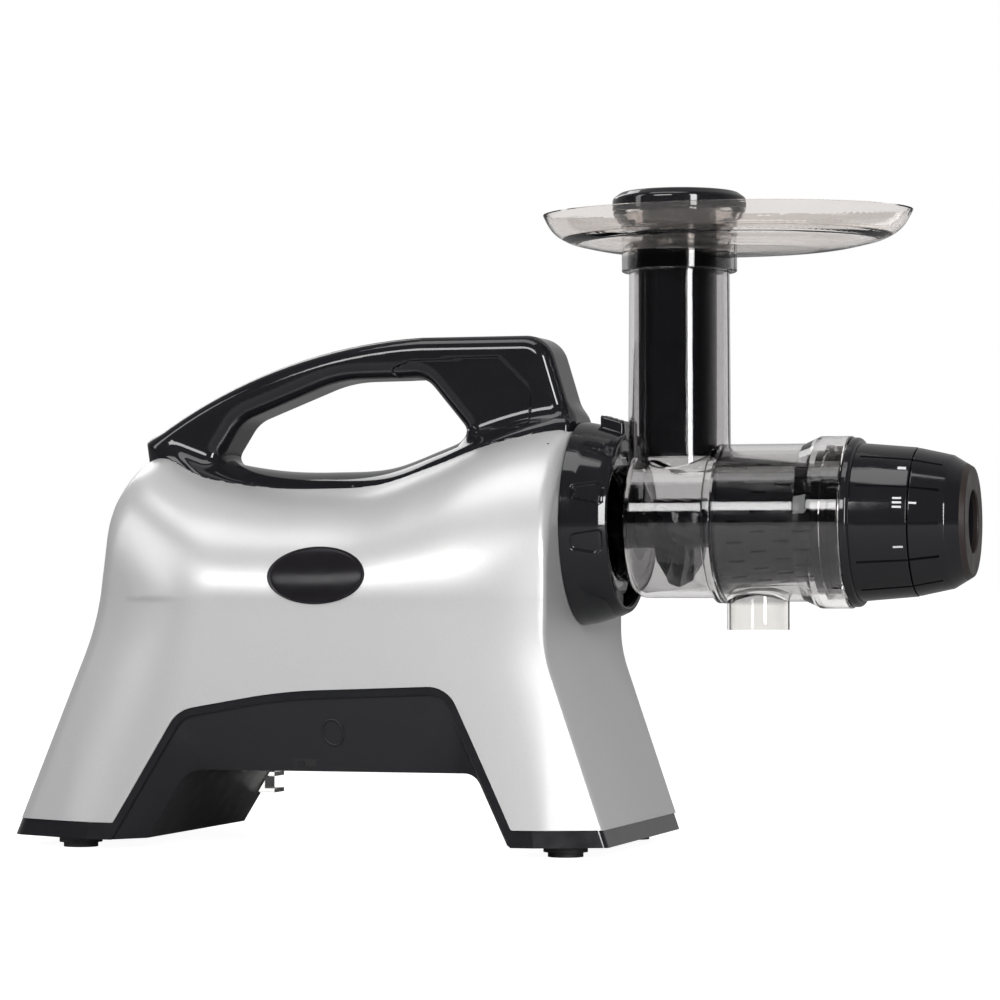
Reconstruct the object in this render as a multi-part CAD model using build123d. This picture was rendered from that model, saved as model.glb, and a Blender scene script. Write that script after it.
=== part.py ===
"""Horizontal cold press juicer, built as an assembly of separate pieces.

A motor and a two-stage gear train in a bridge-shaped base turn an auger in a clear drum.
Millimetres, +Z up, +X along the drum towards the nozzle, Y across the machine.
The origin lies on the floor under the middle of the bounding box.
"""
from build123d import *
import math
import os

# ---------------------------------------------------------------- drum axis
AXIS_Z = 150.0              # height of the auger, drum, cap and nozzle axis
SHAFT_FIT = 0.05            # radial running clearance of a shaft in its bush
TURN_GAP = 0.3              # clearance between parts that turn or slide on each other

# ---------------------------------------------------------------- housing
BASE_Z = 4.7                # underside of the base plates, carried by the feet
SHELL_BASE_Z = 12.5         # lower edge of the silver legs
SPRING_Z = 115.0            # height where the side walls turn into the vault
HOUSING_WALL = 3.0
FRONT_X = 40.8              # upper front wall
FRONT_LINE = [(40.8, 260.0), (40.8, 91.0), (70.4, 4.7), (75.5, -10.2)]      # (x, z) corners
FRONT_RADII = [0, 60, 0, 0]
FRONT_HALF = 68.0           # half width of the flat front face
FRONT_FACET = (36.0, 14.0)  # run along X and rise along Y of the facet beside it
REAR_LINE = [(-162.9, 260.0), (-181.9, 104.2), (-223.1, 4.7), (-229.3, -10.2)]
REAR_RADII = [0, 120, 0, 0]
REAR_HALF = 57.0
REAR_FACET = (50.0, 25.0)
HALF_WIDTH = 82.0           # half width at the base
FRONT_CORNER_R = 3.0        # rounding of the corners between the end walls and facets
REAR_CORNER_R = 12.0
VAULT_STATIONS = [          # (x, half width, top) of the vault over the walls
    (-240, 60, 182), (-215, 66, 186), (-185, 70, 188.4), (-160, 75.5, 184), (-135, 79, 175.5),
    (-110, 79.3, 171), (-80, 79.3, 169.8), (-50, 79.3, 171.8), (-25, 79.2, 180.5),
    (0, 78.2, 190.3), (25, 73.5, 196.3), (50, 67.3, 197.4), (85, 60, 197.4)]
COLLAR_HOLE_R = 43.8        # round opening in the front wall

# ---------------------------------------------------------------- arch and underbody
ARCH_REAR = (-166.8, -130.3, 64.4)   # (x at z = 5, corner x, corner z) of the rear leg line
ARCH_MID = (-80.0, 73.4)
ARCH_FRONT = (31.8, -1.6, 76.3)
ARCH_CORNER_R = 16.0
TRIM = 3.6                  # gloss band under the silver edge
TRIM_INSET = 0.8
BELLY_Z = 36.6              # underside of the matte belly
BELLY_REAR_LEG = 12.0       # how far the belly's leg linings stand inside the trim
BELLY_FRONT_LEG = 6.5
BELLY_HALF = 64.0           # half width of the flat belly
BELLY_EDGE = 78.0           # half width where it meets the trim
BELLY_WALL = 3.0
VENT_COUNT = 9
VENT_PITCH = 8.0
VENT_SIZE = (3.0, 56.0)

FOOT_R = 10.0
FOOT_TIP_R = 8.0
FEET = [(48.0, 60.0), (-186.0, 60.0)]   # (x, |y|) of the front and rear pair

# ---------------------------------------------------------------- handle
HANDLE_HALF = 18.0          # half width of the grip
HANDLE_HEEL_X = -172.0      # where the handle leaves the rear of the vault
HANDLE_TOP_Z = 237.2
HANDLE_TOP_X = (-35.0, 10.0)
HANDLE_TOE = (40.6, 190.0)  # foot of the front post
SADDLE_RISE = 5.0           # saddle crown above the vault
SADDLE_HALF = 37.0          # half width of the saddle's crown ellipse
SADDLE_DEPTH = 25.0
PANEL_DEPTH = 1.0           # recessed side panel on the front post

# ---------------------------------------------------------------- socket and locking ring
SOCKET_R = 40.0             # outside of the fixed socket tube the ring turns on
SOCKET_BORE_R = 33.4
SOCKET_X = (26.0, 52.5)
SOCKET_BEAD = 1.1           # bead that keeps the ring on the socket
RING_X = (41.2, 61.8)
RING_LIP = (58.3, 60.3, 33.5)       # x of the lip's faces and its bore
RING_DOME = [(61.8, 38.8), (61.8, 41.2), (58.0, 43.0), (47.2, 46.3), (41.2, 47.3)]  # (x, radius)
RING_DOME_RADII = [0.5, 1.2, 10, 20, 0]
LUG_COUNT = 3
LUG_ARC = 38.0              # degrees
LUG_R = 38.4                # tips of the drum's rear lugs
LUG_X = (52.8, 58.0)
RING_TURN = 45.0            # degrees from locked to open

# ---------------------------------------------------------------- drum
DRUM_REAR_R = 34.6
DRUM_R = 36.1
DRUM_WALL = 3.0
DRUM_X = (31.0, 167.4)
DRUM_PLUG_R = 33.0          # rear end that sits in the socket
DRUM_NECK_R = 27.0          # neck between the lugs and the chamber
DRUM_FLOOR_X = (65.0, 68.0)     # rear wall of the chamber with the shaft bore
DRUM_FLOOR_ROUND = 6.5
SHOULDER_X = 104.0
FLANGE_X = 153.0
FLANGE_R = 39.3
CHUTE_X = 86.0
CHUTE_R = (23.1, 23.9)      # outer radius at the top and at the drum
CHUTE_WALL = 2.3
CHUTE_TOP = 281.0
CHUTE_FOOT = 22.0           # height above the axis where the chute's rear overhang ends
SPOUT_X = 123.0
SPOUT_R = 14.4
SPOUT_WALL = 1.8
SPOUT_BOTTOM = 101.0
SCREEN_X = (107.4, 159.0)
SCREEN_R = (30.6, 26.0)     # outer radius at the rear and front
SCREEN_WALL = 1.6
SCREEN_FLANGE_R = 32.8

# ---------------------------------------------------------------- auger
HUB_R = 11.5
FLIGHT_R = 29.6
FLIGHT_PITCH = 34.0
FLIGHT_ARC = 40.0           # angular thickness of a flight
AUGER_X = (70.0, 163.0)
AUGER_TIP_R = 17.0
DRIVE_HEX = 13.0            # across flats
SPINDLE_R = 10.0

# ---------------------------------------------------------------- gear train
OUT_TEETH, OUT_MODULE = 48, 1.25
IDLER_SMALL_TEETH = 12
IDLER_TEETH, IDLER_MODULE = 50, 1.0
MOTOR_TEETH = 10
MOTOR_Z = 120.0             # height of the motor axis, below the drum axis
TOOTH_THICKNESS = 0.45      # share of the pitch left to a tooth, the rest is backlash
ADDENDUM, DEDENDUM = 0.85, 1.2
OUT_GEAR_X = (7.0, 18.0)
IDLER_PINION_X = (6.0, 19.0)
IDLER_GEAR_X = (-13.0, -4.0)
MOTOR_PINION_X = (-14.0, -3.0)
CASE_X = (-19.0, 22.0)
CASE_WALL = 3.0
CASE_STEP_X = 1.0           # where the case widens round the output gear

# ---------------------------------------------------------------- motor
STATOR_R = 37.0
STATOR_BORE_R = 21.4
STATOR_X = (-96.0, -46.0)
ROTOR_R = 21.0
MOTOR_SHAFT_R = 4.0
FAN_R = 33.0
FAN_X = (-128.0, -119.0)
BRACKET_X = ((-114.0, -110.0), (-32.0, -28.0))

# ---------------------------------------------------------------- cap and dial
CAP_X = (167.6, 197.4)
CAP_FLANGE_R = 38.6
CAP_R = (36.0, 33.8)
DIAL_X = (197.8, 222.3)
DIAL_R = (33.6, 30.2, 24.8)     # at the cap, before the cone, at the face
DIAL_CONE_X = 213.5
NOZZLE_R = 14.3
GRIP_COUNT = 12

# ---------------------------------------------------------------- tray and pusher
TRAY_X = 108.3
TRAY_HALF = (86.3, 60.0)    # half length and half width at the rim
TRAY_RIM_Z = 292.7
TRAY_DEPTH = 18.7           # from the rim down to the floor's underside
TRAY_WALL = 2.0
SLEEVE_R = 26.6
SLEEVE_BORE_R = 24.0
SLEEVE_Z = (265.8, 284.0)
PUSHER_R = 17.3
PUSHER_RIB_R = 20.4
PUSHER_FOOT_Z = 180.4
PUSHER_CAP_R = 30.9
PUSHER_CAP_SEAT = 0.5       # height of the cap's underside above the tray's rim
PUSHER_CAP_HEIGHT = 9.4

# ---------------------------------------------------------------- badge
BADGE = (-64.4, 125.9, 23.3, 13.1)   # x, z, half length, half height

# ---------------------------------------------------------------- small values
FOOT_SCREW_R = 2.2
FOOT_SCREW_HEAD_R = 4.0
FOOT_STEP_Z = 2.2           # the foot narrows below this height
FOOT_RECESS = 2.6
SOCKET_FLANGE_R = 50.0
SPINDLE_X = (-4.0, 49.0)
HEX_DEPTH = 17.0
AXLE_R = 3.0
PINION_BORE_R = 2.5
BUSH_R = 15.0
BUSH_WIDTH = 5.0
MOTOR_BUSH_R = 7.0
SHIELD_POST_AT = 33.8       # distance of the shields' posts from the motor axis
SHIELD_POST_R = 2.6
STATOR_SLOTS = 24
FAN_BLADES = 9
CAP_TURN = 45.0             # degrees from locked to the drum's entry slots
CAP_LUG_X = (158.5, 161.5)
CAP_LUG_HEIGHT = 2.0
CAP_LUG_ARC = 34.0
CAP_WALL = 2.5
SPIGOT_X = 154.0
NECK_R = 18.7               # dial tube inside the cap
NOZZLE_RING = 2.6
GRIP_PANEL = 45.0
GRIP_START = 6.4
GROOVE_WIDTH = 1.3
GROOVE_DEPTH = 0.9
RING_GRIPS = [(-73.0, -1), (-101.0, 1), (73.0, 1), (101.0, -1)]     # (angle, wide side)
RING_GRIP_OUTLINE = [(45.5, -3.5), (60.2, -5.5), (60.2, 7.5), (45.5, 3.5)]
RING_GRIP_DEPTH = 1.0
RING_TAB = (49.8, 61.2, 7.0, 200.6)     # x0, x1, half width, top
SCREEN_SLOT = (7.0, 1.0)
SCREEN_SLOTS = 20
SCREEN_ROWS = 4
SCREEN_ROW_PITCH = 10.5
SLEEVE_TOP_R = 30.4
BADGE_THICK = 1.0
HANDLE_ARC_MID = (-94.5, 227.3)
HANDLE_NOSE_X = 26.2
HANDLE_NOSE_R = 14.0
HANDLE_EDGE_R = 7.0
HANDLE_HOLE_EDGE_R = 5.0
HANDLE_HOLE = [(-118, 150), (-136, 180), (-124, 199), (-76, 217.8), (-33, 218.3), (-12, 193),
               (-20, 150)]
HANDLE_HOLE_R = [0, 10, 16, 60, 12, 10, 0]
HANDLE_PANEL = [(-8, 198), (17, 198), (12, 226), (-20, 226)]
SWITCH_Z = 140.0
SWITCH_SIZE = (30.0, 22.0)      # width across Y and height of the opening
ROCKER_SIZE = (22.0, 15.0)
INLET_Z = 70.0
INLET_SIZE = (27.4, 20.0)
CAPACITOR_AT = (-178.0, 38.0)
TERMINAL_AT = (-190.0, -38.0)
CLIP_Y = (46.0, 60.0)
CLIP_OUTLINE = [(-146, 20), (-129, 20), (-129, 22), (-134, 22), (-134, 28), (-129, 28), (-129, 30),
                (-146, 30)]
COVER_SCREW_R = 1.1
COVER_SCREW_HEAD = (2.3, 1.8)   # radius, height
COVER_SCREW_LENGTH = 14.0

SEAM_ANGLE = 142.0          # where turned solids start, clear of lugs and notches
DRUM_AXIS = Axis((0, 0, AXIS_Z), (1, 0, 0))
AXIS_PLANE = Plane(origin=(0, 0, AXIS_Z), x_dir=(1, 0, 0), z_dir=(0, -1, 0))


# ================================================================ helpers
def face_of(points, radii=0.0):
    """Closed face through points, with a fillet radius at every corner or one for each."""
    if not isinstance(radii, (list, tuple)):
        radii = [radii] * len(points)
    return make_face(FilletPolyline(*points, radius=radii, close=True))


def along_y(face, half):
    """Prism of a face drawn in X and Z, reaching from -half to +half in Y."""
    return extrude(Plane.XZ * face, amount=half, both=True)


def turned(points, radii=0.0):
    """Solid of revolution about the drum axis from (x, radius) points."""
    return around_axis(revolve(AXIS_PLANE * face_of(points, radii), DRUM_AXIS), SEAM_ANGLE)


def ring_x(x0, x1, outer, inner=0.0, y=0.0, z=AXIS_Z):
    """Round bar or tube along X between x0 and x1."""
    plane = Plane(origin=(x0, y, z), z_dir=(1, 0, 0))
    body = extrude(plane * Circle(outer), amount=x1 - x0)
    if inner > 0:
        body -= extrude(plane * Circle(inner), amount=x1 - x0)
    return body


def around_axis(shape, angle):
    """The shape turned about the drum axis."""
    return shape.rotate(DRUM_AXIS, angle)


def ring_sector(x0, x1, outer, inner, arc, centre=0.0):
    """Part of a ring about the drum axis, arc degrees wide; centre 0 points up."""
    points = [(x0, inner), (x1, inner), (x1, outer), (x0, outer)]
    body = revolve(AXIS_PLANE * face_of(points), DRUM_AXIS, revolution_arc=arc)
    return around_axis(body, centre - arc / 2)


# ================================================================ base unit shape
def vault_section(x, half, top, inset):
    """Slice of the base unit across X: an elliptic crown on drafted side walls."""
    half -= inset
    rise = top - inset - SPRING_Z
    foot = HALF_WIDTH - inset + 0.7
    arc = EllipticalCenterArc((0, SPRING_Z), half, rise, start_angle=0, arc_size=180)
    legs = Polyline((-half, SPRING_Z), (-foot, -20.0), (foot, -20.0), (half, SPRING_Z))
    return Plane.YZ.offset(x) * make_face([arc, *legs.edges()])


def corner_y(half, facet, inset):
    """Distance from the middle to the corner between an end wall and its facet."""
    run, rise = facet
    norm = math.hypot(run, rise)
    return half + inset * (rise / norm - 1) / (run / norm)


def end_cuts(line, radii, half, facet, inset):
    """Cutters beyond one end wall: the wall itself and the facet on either side of it."""
    sign = 1 if line[0][0] > 0 else -1
    far = sign * 400.0
    points = [(x - sign * inset, z) for x, z in line] + [(far, line[-1][1]), (far, line[0][1])]
    face = face_of(points, radii + [0, 0])
    run, rise = facet
    norm = math.hypot(run, rise)
    y = corner_y(half, facet, inset)
    cuts = [along_y(face, 200)]
    for side in (-1, 1):
        start = Plane(origin=(0, side * y, 0), x_dir=(1, 0, 0), z_dir=(0, -1, 0)) * face
        way = Vector(-sign * run, side * rise, 0).normalized()
        cuts.append(extrude(start, amount=2.6 * norm, dir=way))
    return cuts


def base_unit(inset=0.0):
    """Solid of the whole base unit, made smaller by inset."""
    body = loft([vault_section(x, half, top, inset) for x, half, top in VAULT_STATIONS])
    for cutter in end_cuts(FRONT_LINE, FRONT_RADII, FRONT_HALF, FRONT_FACET, inset):
        body -= cutter
    for cutter in end_cuts(REAR_LINE, REAR_RADII, REAR_HALF, REAR_FACET, inset):
        body -= cutter
    body -= Pos(-80, 0, BASE_Z - 30) * Box(600, 300, 60)
    front_y = corner_y(FRONT_HALF, FRONT_FACET, inset)
    rear_y = corner_y(REAR_HALF, REAR_FACET, inset)
    body = round_corners(body, 20, 200, front_y, FRONT_CORNER_R)
    return round_corners(body, -300, -165, rear_y, REAR_CORNER_R)


def round_corners(body, x0, x1, y, radius):
    """Round the upright corners at +y and -y between x0 and x1."""
    edges = body.edges().filter_by(lambda e: x0 < e.center().X < x1 and abs(abs(e.center().Y) - y) < 0.3)
    return fillet(edges.filter_by(lambda e: BASE_Z + 1 < e.center().Z < 165), radius)


def rear_frame(z):
    """Plane on the rear wall at height z: x across the machine, z out of the wall."""
    (x0, z0), (x1, z1) = REAR_LINE[:2] if z > REAR_LINE[1][1] else REAR_LINE[1:3]
    slope = (x0 - x1) / (z0 - z1)
    return Plane(origin=(x1 + slope * (z - z1), 0, z), x_dir=(0, -1, 0), z_dir=(-1, 0, slope))


def on_wall(z, shape, x=0.0, y=0.0, out=0.0):
    """Shape placed in the frame of the rear wall, x across, y up the wall, out of it."""
    return rear_frame(z).location * (Pos(x, y, out) * shape)


def arch_face(inward=0.0):
    """Side view of the open arch between the legs, made smaller by inward."""
    rear_foot, rear_x, rear_z = ARCH_REAR
    front_foot, front_x, front_z = ARCH_FRONT
    low = -20.0
    rear_slope = (rear_x - rear_foot) / (rear_z - 5.0)
    front_slope = (front_foot - front_x) / (front_z - 5.0)
    points = [(rear_foot - rear_slope * (5.0 - low), low), (rear_x, rear_z), ARCH_MID,
              (front_x, front_z), (front_foot + front_slope * (5.0 - low), low)]
    face = face_of(points, [0, ARCH_CORNER_R, 260, ARCH_CORNER_R - 2, 0])
    if inward:
        face = offset(face, -inward, kind=Kind.INTERSECTION)
    return face


def lining_face():
    """Side view of everything behind the rear leg lining, below the belly."""
    points = belly_face_points()
    (x0, z0), (x1, z1) = points[:2]
    return face_of([(x0, z0), (x1, z1), (x1 - 60, z1), (x0 - 60, z0)])


def belly_face_points():
    """Corners of the space left under the belly, from the rear leg to the front one."""
    rear_foot, rear_x, rear_z = ARCH_REAR
    front_foot, front_x, front_z = ARCH_FRONT
    low = -20.0
    rear_slope = (rear_x - rear_foot) / (rear_z - 5.0)
    front_slope = (front_foot - front_x) / (front_z - 5.0)
    rear = rear_foot + TRIM + BELLY_REAR_LEG
    front = front_foot - TRIM - BELLY_FRONT_LEG
    return [(rear - rear_slope * (5.0 - low), low), (rear + rear_slope * (BELLY_Z - 5), BELLY_Z),
            (-80.0, BELLY_Z), (front - front_slope * (BELLY_Z - 5), BELLY_Z),
            (front + front_slope * (5.0 - low), low)]


def belly_face():
    """Side view of the space left under the belly."""
    return face_of(belly_face_points(), [0, 14, 0, 8, 0])


# ================================================================ base unit pieces
def make_housing_shell(outer, inner):
    shell = outer - inner
    shell -= Pos(0, 0, SHELL_BASE_Z - 50) * Box(600, 300, 100)
    shell -= along_y(arch_face(), 200)
    shell -= ring_x(FRONT_X - 12, FRONT_X + 12, COLLAR_HOLE_R)
    shell -= on_wall(SWITCH_Z, Box(SWITCH_SIZE[0], SWITCH_SIZE[1], 16))
    shell -= on_wall(INLET_Z, Box(INLET_SIZE[0], INLET_SIZE[1], 16))
    return shell


def make_base_tray():
    """Gloss moulding that closes the legs: two base plates and the band under the arch."""
    solid = base_unit(TRIM_INSET)
    slab = Pos(-80, 0, (BASE_Z + SHELL_BASE_Z) / 2) * Box(500, 300, SHELL_BASE_Z - BASE_Z)
    region = along_y(arch_face(), 200) + slab
    region -= along_y(arch_face(TRIM), 200)
    tray = solid & region
    for x, y in FEET:
        for side in (-1, 1):
            tray -= Pos(x, side * y, BASE_Z) * Cylinder(FOOT_SCREW_R, 60)
    return tray


def make_underbody():
    """Matte belly hanging in the arch, with its leg linings, hollow from above."""
    solid = along_y(arch_face(TRIM), BELLY_EDGE)
    solid = solid & (Pos(-80, 0, BASE_Z + 100) * Box(500, 300, 200))
    space = along_y(belly_face(), BELLY_HALF)
    outer_face = offset(arch_face(TRIM), -0.6, kind=Kind.INTERSECTION)
    for side in (-1, 1):
        near = Plane(origin=(0, side * BELLY_HALF, 0), x_dir=(1, 0, 0), z_dir=(0, -1, 0))
        far = Plane(origin=(0, side * BELLY_EDGE, 0), x_dir=(1, 0, 0), z_dir=(0, -1, 0))
        space += loft([near * belly_face(), far * outer_face])
    body = solid - space
    top = ARCH_MID[1] - TRIM - 3
    cavity = face_of([(-122, BELLY_Z + BELLY_WALL), (-8, BELLY_Z + BELLY_WALL), (-14, top),
                      (-112, top - 5)], 6)
    body -= along_y(cavity, BELLY_HALF - 8)
    for i in range(VENT_COUNT):
        x = -68 + (i - (VENT_COUNT - 1) / 2) * VENT_PITCH
        body -= Pos(x, 0, BELLY_Z) * Box(VENT_SIZE[0], VENT_SIZE[1], 12)
    return body


def vault_top(x):
    """Height of the vault's crown line at x."""
    for (x0, _, z0), (x1, _, z1) in zip(VAULT_STATIONS, VAULT_STATIONS[1:]):
        if x0 <= x <= x1:
            return z0 + (z1 - z0) * (x - x0) / (x1 - x0)
    return VAULT_STATIONS[-1][2]


def saddle_section(x, lift, depth):
    """Slice of the gloss saddle: a narrow elliptic crown that stands over the vault."""
    crown = vault_top(x) + lift
    half = SADDLE_HALF
    arc = EllipticalCenterArc((0, crown - SADDLE_DEPTH), half, SADDLE_DEPTH, start_angle=0, arc_size=180)
    legs = Polyline((-half, crown - SADDLE_DEPTH), (-half, crown - depth), (half, crown - depth),
                    (half, crown - SADDLE_DEPTH))
    return Plane.YZ.offset(x) * make_face([arc, *legs.edges()])


def make_handle(outer):
    """Gloss carrying handle: grip, front post and the saddle that lies on the vault."""
    x0, x1 = HANDLE_TOP_X
    heel = (HANDLE_HEEL_X, vault_top(HANDLE_HEEL_X) + 2.5)
    arc = ThreePointArc(heel, HANDLE_ARC_MID, (x0, HANDLE_TOP_Z))
    rest = FilletPolyline((x0, HANDLE_TOP_Z), (HANDLE_NOSE_X, HANDLE_TOP_Z), HANDLE_TOE,
                          (HANDLE_TOE[0] - 2, 172), (-30, 160), (-130, 160), (HANDLE_HEEL_X + 3, 176), heel,
                          radius=[HANDLE_NOSE_R, 0, 0, 0, 0, 0])
    grip = along_y(make_face([arc, *rest.edges()]), HANDLE_HALF)
    rim = grip.edges().filter_by(lambda e: abs(abs(e.center().Y) - HANDLE_HALF) < 0.01)
    rim = rim.filter_by(lambda e: e.center().Z > 200)
    grip = fillet(rim, HANDLE_EDGE_R)
    grip -= along_y(face_of(HANDLE_HOLE, HANDLE_HOLE_R), 60)
    inner = grip.edges().filter_by(lambda e: abs(abs(e.center().Y) - HANDLE_HALF) < 0.01)
    inner = inner.filter_by(lambda e: 192 < e.center().Z < 222 and -140 < e.center().X < -20)
    grip = fillet(inner, HANDLE_HOLE_EDGE_R)
    for side in (-1, 1):
        panel = face_of(HANDLE_PANEL, [4, 4, 10, 4])
        grip -= Pos(0, side * HANDLE_HALF, 0) * along_y(panel, PANEL_DEPTH)
    stations = [-182, -160, -140, -120, -100, -60, -38, -18, 2, 22, 40]
    saddle = loft([saddle_section(x, SADDLE_RISE, 40.0) for x in stations])
    half = [(38.8, 22), (20, 27), (-40, 34), (-136, 33), (-172, 11)]
    plan = face_of(half + [(x, -y) for x, y in reversed(half)],
                   [2, 60, 60, 24, 8, 8, 24, 60, 60, 2])
    saddle = saddle & (extrude(Plane.XY.offset(130) * plan, amount=90))
    return (grip - outer) + (saddle - outer)


def make_badge(outer):
    """Bare oval plate set on the near side wall."""
    x, z, a, b = BADGE
    oval = Plane(origin=(x, -60, z), x_dir=(1, 0, 0), z_dir=(0, -1, 0)) * Ellipse(a, b)
    column = extrude(oval, amount=40)
    return (column & base_unit(-BADGE_THICK)) - outer


def make_feet():
    feet = []
    for x, y in FEET:
        for side in (-1, 1):
            disc = Pos(x, side * y, (BASE_Z + FOOT_STEP_Z) / 2) * Cylinder(FOOT_R, BASE_Z - FOOT_STEP_Z)
            tip = Pos(x, side * y, FOOT_STEP_Z / 2) * Cylinder(FOOT_TIP_R, FOOT_STEP_Z)
            hole = Pos(x, side * y, 0) * Cylinder(FOOT_SCREW_HEAD_R + 0.2, 2 * FOOT_RECESS)
            bore = Pos(x, side * y, 0) * Cylinder(FOOT_SCREW_R, 30)
            feet.append(disc + tip - hole - bore)
    return Compound(children=feet)


def make_foot_screws():
    screws = []
    for x, y in FEET:
        for side in (-1, 1):
            head = Pos(x, side * y, FOOT_RECESS - 0.9) * Cylinder(FOOT_SCREW_HEAD_R, 1.8)
            length = SHELL_BASE_Z + 4 - FOOT_RECESS
            shank = Pos(x, side * y, FOOT_RECESS + length / 2) * Cylinder(FOOT_SCREW_R - 0.2, length)
            screws.append(head + shank)
    return Compound(children=screws)


# ================================================================ socket and locking ring
def make_socket(inner):
    """Fixed tube in the front wall: the drum plugs into it and the ring turns on it."""
    x0, x1 = SOCKET_X
    wall_x = FRONT_X - HOUSING_WALL
    tube = turned([(x0, SPINDLE_R + 1), (x0 + 3, SPINDLE_R + 1), (x0 + 3, SOCKET_BORE_R),
                   (x1, SOCKET_BORE_R), (x1, SOCKET_R), (x1 - 1.0, SOCKET_R),
                   (x1 - 1.6, SOCKET_R + SOCKET_BEAD), (x1 - 2.4, SOCKET_R + SOCKET_BEAD),
                   (x1 - 3.0, SOCKET_R), (x0, SOCKET_R)])
    flange = ring_x(wall_x - 4, wall_x, SOCKET_FLANGE_R, SOCKET_R - 1)
    return tube + (flange & inner)


def make_locking_ring():
    """Domed ring whose inner lip holds the drum's lugs until its notches meet them."""
    x0, x1 = RING_X
    bore = SOCKET_R + TURN_GAP
    groove = SOCKET_R + SOCKET_BEAD + TURN_GAP
    cavity = LUG_R + TURN_GAP
    lip_x0, lip_x1, lip_r = RING_LIP
    sx = SOCKET_X[1]
    profile = [(x0, bore), (sx - 3.4, bore), (sx - 3.4, groove), (sx - 0.6, groove),
               (sx - 0.6, bore), (sx + 0.5, bore), (sx + 0.5, cavity), (lip_x0, cavity),
               (lip_x0, lip_r), (lip_x1, lip_r), (lip_x1, RING_DOME[0][1])]
    ring = turned(profile + RING_DOME, [0] * 11 + RING_DOME_RADII)
    for i in range(LUG_COUNT):
        ring -= ring_sector(lip_x0 - 0.5, lip_x1 + 1, cavity - 0.1, lip_r - 2, LUG_ARC + 8,
                            i * 360 / LUG_COUNT - RING_TURN)
    core = dome_core(RING_GRIP_DEPTH)
    for angle, side in RING_GRIPS:
        outline = face_of([(x, side * y) for x, y in RING_GRIP_OUTLINE], [2.5, 2.5, 3.5, 2.5])
        block = extrude(Plane.XY.offset(AXIS_Z + 30) * outline, amount=30)
        ring -= around_axis(block, angle) - core
    return ring


def dome_core(depth=0.0):
    """Solid inside the ring's dome, depth below its surface."""
    points = [(x, radius - depth) for x, radius in RING_DOME[1:]]
    return turned(points + [(RING_DOME[-1][0], 20), (RING_DOME[0][0], 20)], [1.2, 10, 20, 0, 0, 0])


def make_ring_tab():
    """Thumb tab standing on the ring."""
    x0, x1, half, top = RING_TAB
    block = Pos((x0 + x1) / 2, 0, top - 6) * Box(x1 - x0, 2 * half, 12)
    block = fillet(block.edges().filter_by(lambda e: e.center().Z > top - 7), 1.8)
    return block - dome_core()


# ================================================================ drum
def make_drum():
    """Clear juicing drum with its feed chute, juice spout, rear lugs and front bayonet."""
    x0, x1 = DRUM_X
    fx0, fx1 = DRUM_FLOOR_X
    bore = DRUM_REAR_R - DRUM_WALL
    front_bore = DRUM_R - DRUM_WALL
    step = SCREEN_X[0]
    lug_x0, lug_x1 = LUG_X
    body = turned([(x0, 0), (x1, 0), (x1, FLANGE_R), (FLANGE_X, FLANGE_R), (FLANGE_X - 7, DRUM_R),
                   (SHOULDER_X + 5, DRUM_R), (SHOULDER_X + 4, DRUM_R + 0.9),
                   (SHOULDER_X + 1, DRUM_R + 0.9), (SHOULDER_X, DRUM_REAR_R), (fx0, DRUM_REAR_R),
                   (fx0, DRUM_NECK_R), (lug_x1, DRUM_NECK_R), (lug_x1, DRUM_PLUG_R), (x0, DRUM_PLUG_R)],
                  [0, 0, 0.8, 1.5, 3, 0.5, 0.4, 0.4, 0.5, DRUM_FLOOR_ROUND, 0, 0, 0, 0])
    for i in range(LUG_COUNT):
        body += ring_sector(lug_x0, lug_x1, LUG_R, DRUM_PLUG_R - 1, LUG_ARC, i * 360 / LUG_COUNT)
    top_r, low_r = CHUTE_R
    height = CHUTE_TOP - AXIS_Z
    behind = Pos(fx0 - 20, 0, AXIS_Z) * Box(40, 100, 2 * CHUTE_FOOT)
    body += (Pos(CHUTE_X, 0, AXIS_Z + height / 2) * Cone(low_r, top_r, height)) - behind
    spout_top = AXIS_Z - DRUM_R + 6
    body += Pos(SPOUT_X, 0, (spout_top + SPOUT_BOTTOM) / 2) * Cylinder(SPOUT_R, spout_top - SPOUT_BOTTOM)
    body -= ring_x(x0 - 1, lug_x0, DRUM_PLUG_R - DRUM_WALL)
    body -= ring_x(lug_x0 - 1, fx0, DRUM_NECK_R - DRUM_WALL)
    body -= ring_x(fx0 - 1, fx1 + 1, HUB_R + SHAFT_FIT)
    body -= ring_x(fx1, step, bore)
    body -= ring_x(step, x1 + 1, front_bore)
    hollow = Pos(CHUTE_X, 0, AXIS_Z + height / 2) * Cone(low_r - CHUTE_WALL, top_r - CHUTE_WALL, height)
    body -= hollow - Pos(fx1 - 20, 0, AXIS_Z) * Box(40, 100, 2 * (CHUTE_FOOT + 2))
    drain_top = AXIS_Z - front_bore + 8
    drain = Cylinder(SPOUT_R - SPOUT_WALL, drain_top - SPOUT_BOTTOM + 2)
    body -= Pos(SPOUT_X, 0, (drain_top + SPOUT_BOTTOM - 2) / 2) * drain
    groove = front_bore + CAP_LUG_HEIGHT + TURN_GAP
    gx0, gx1 = CAP_LUG_X
    body -= ring_x(gx0 - TURN_GAP, gx1 + TURN_GAP, groove, front_bore - 1)
    for i in range(LUG_COUNT):
        body -= ring_sector(gx1, x1 + 1, groove - 0.1, front_bore - 2, CAP_LUG_ARC + 6,
                            i * 360 / LUG_COUNT + CAP_TURN)
    return body


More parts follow.
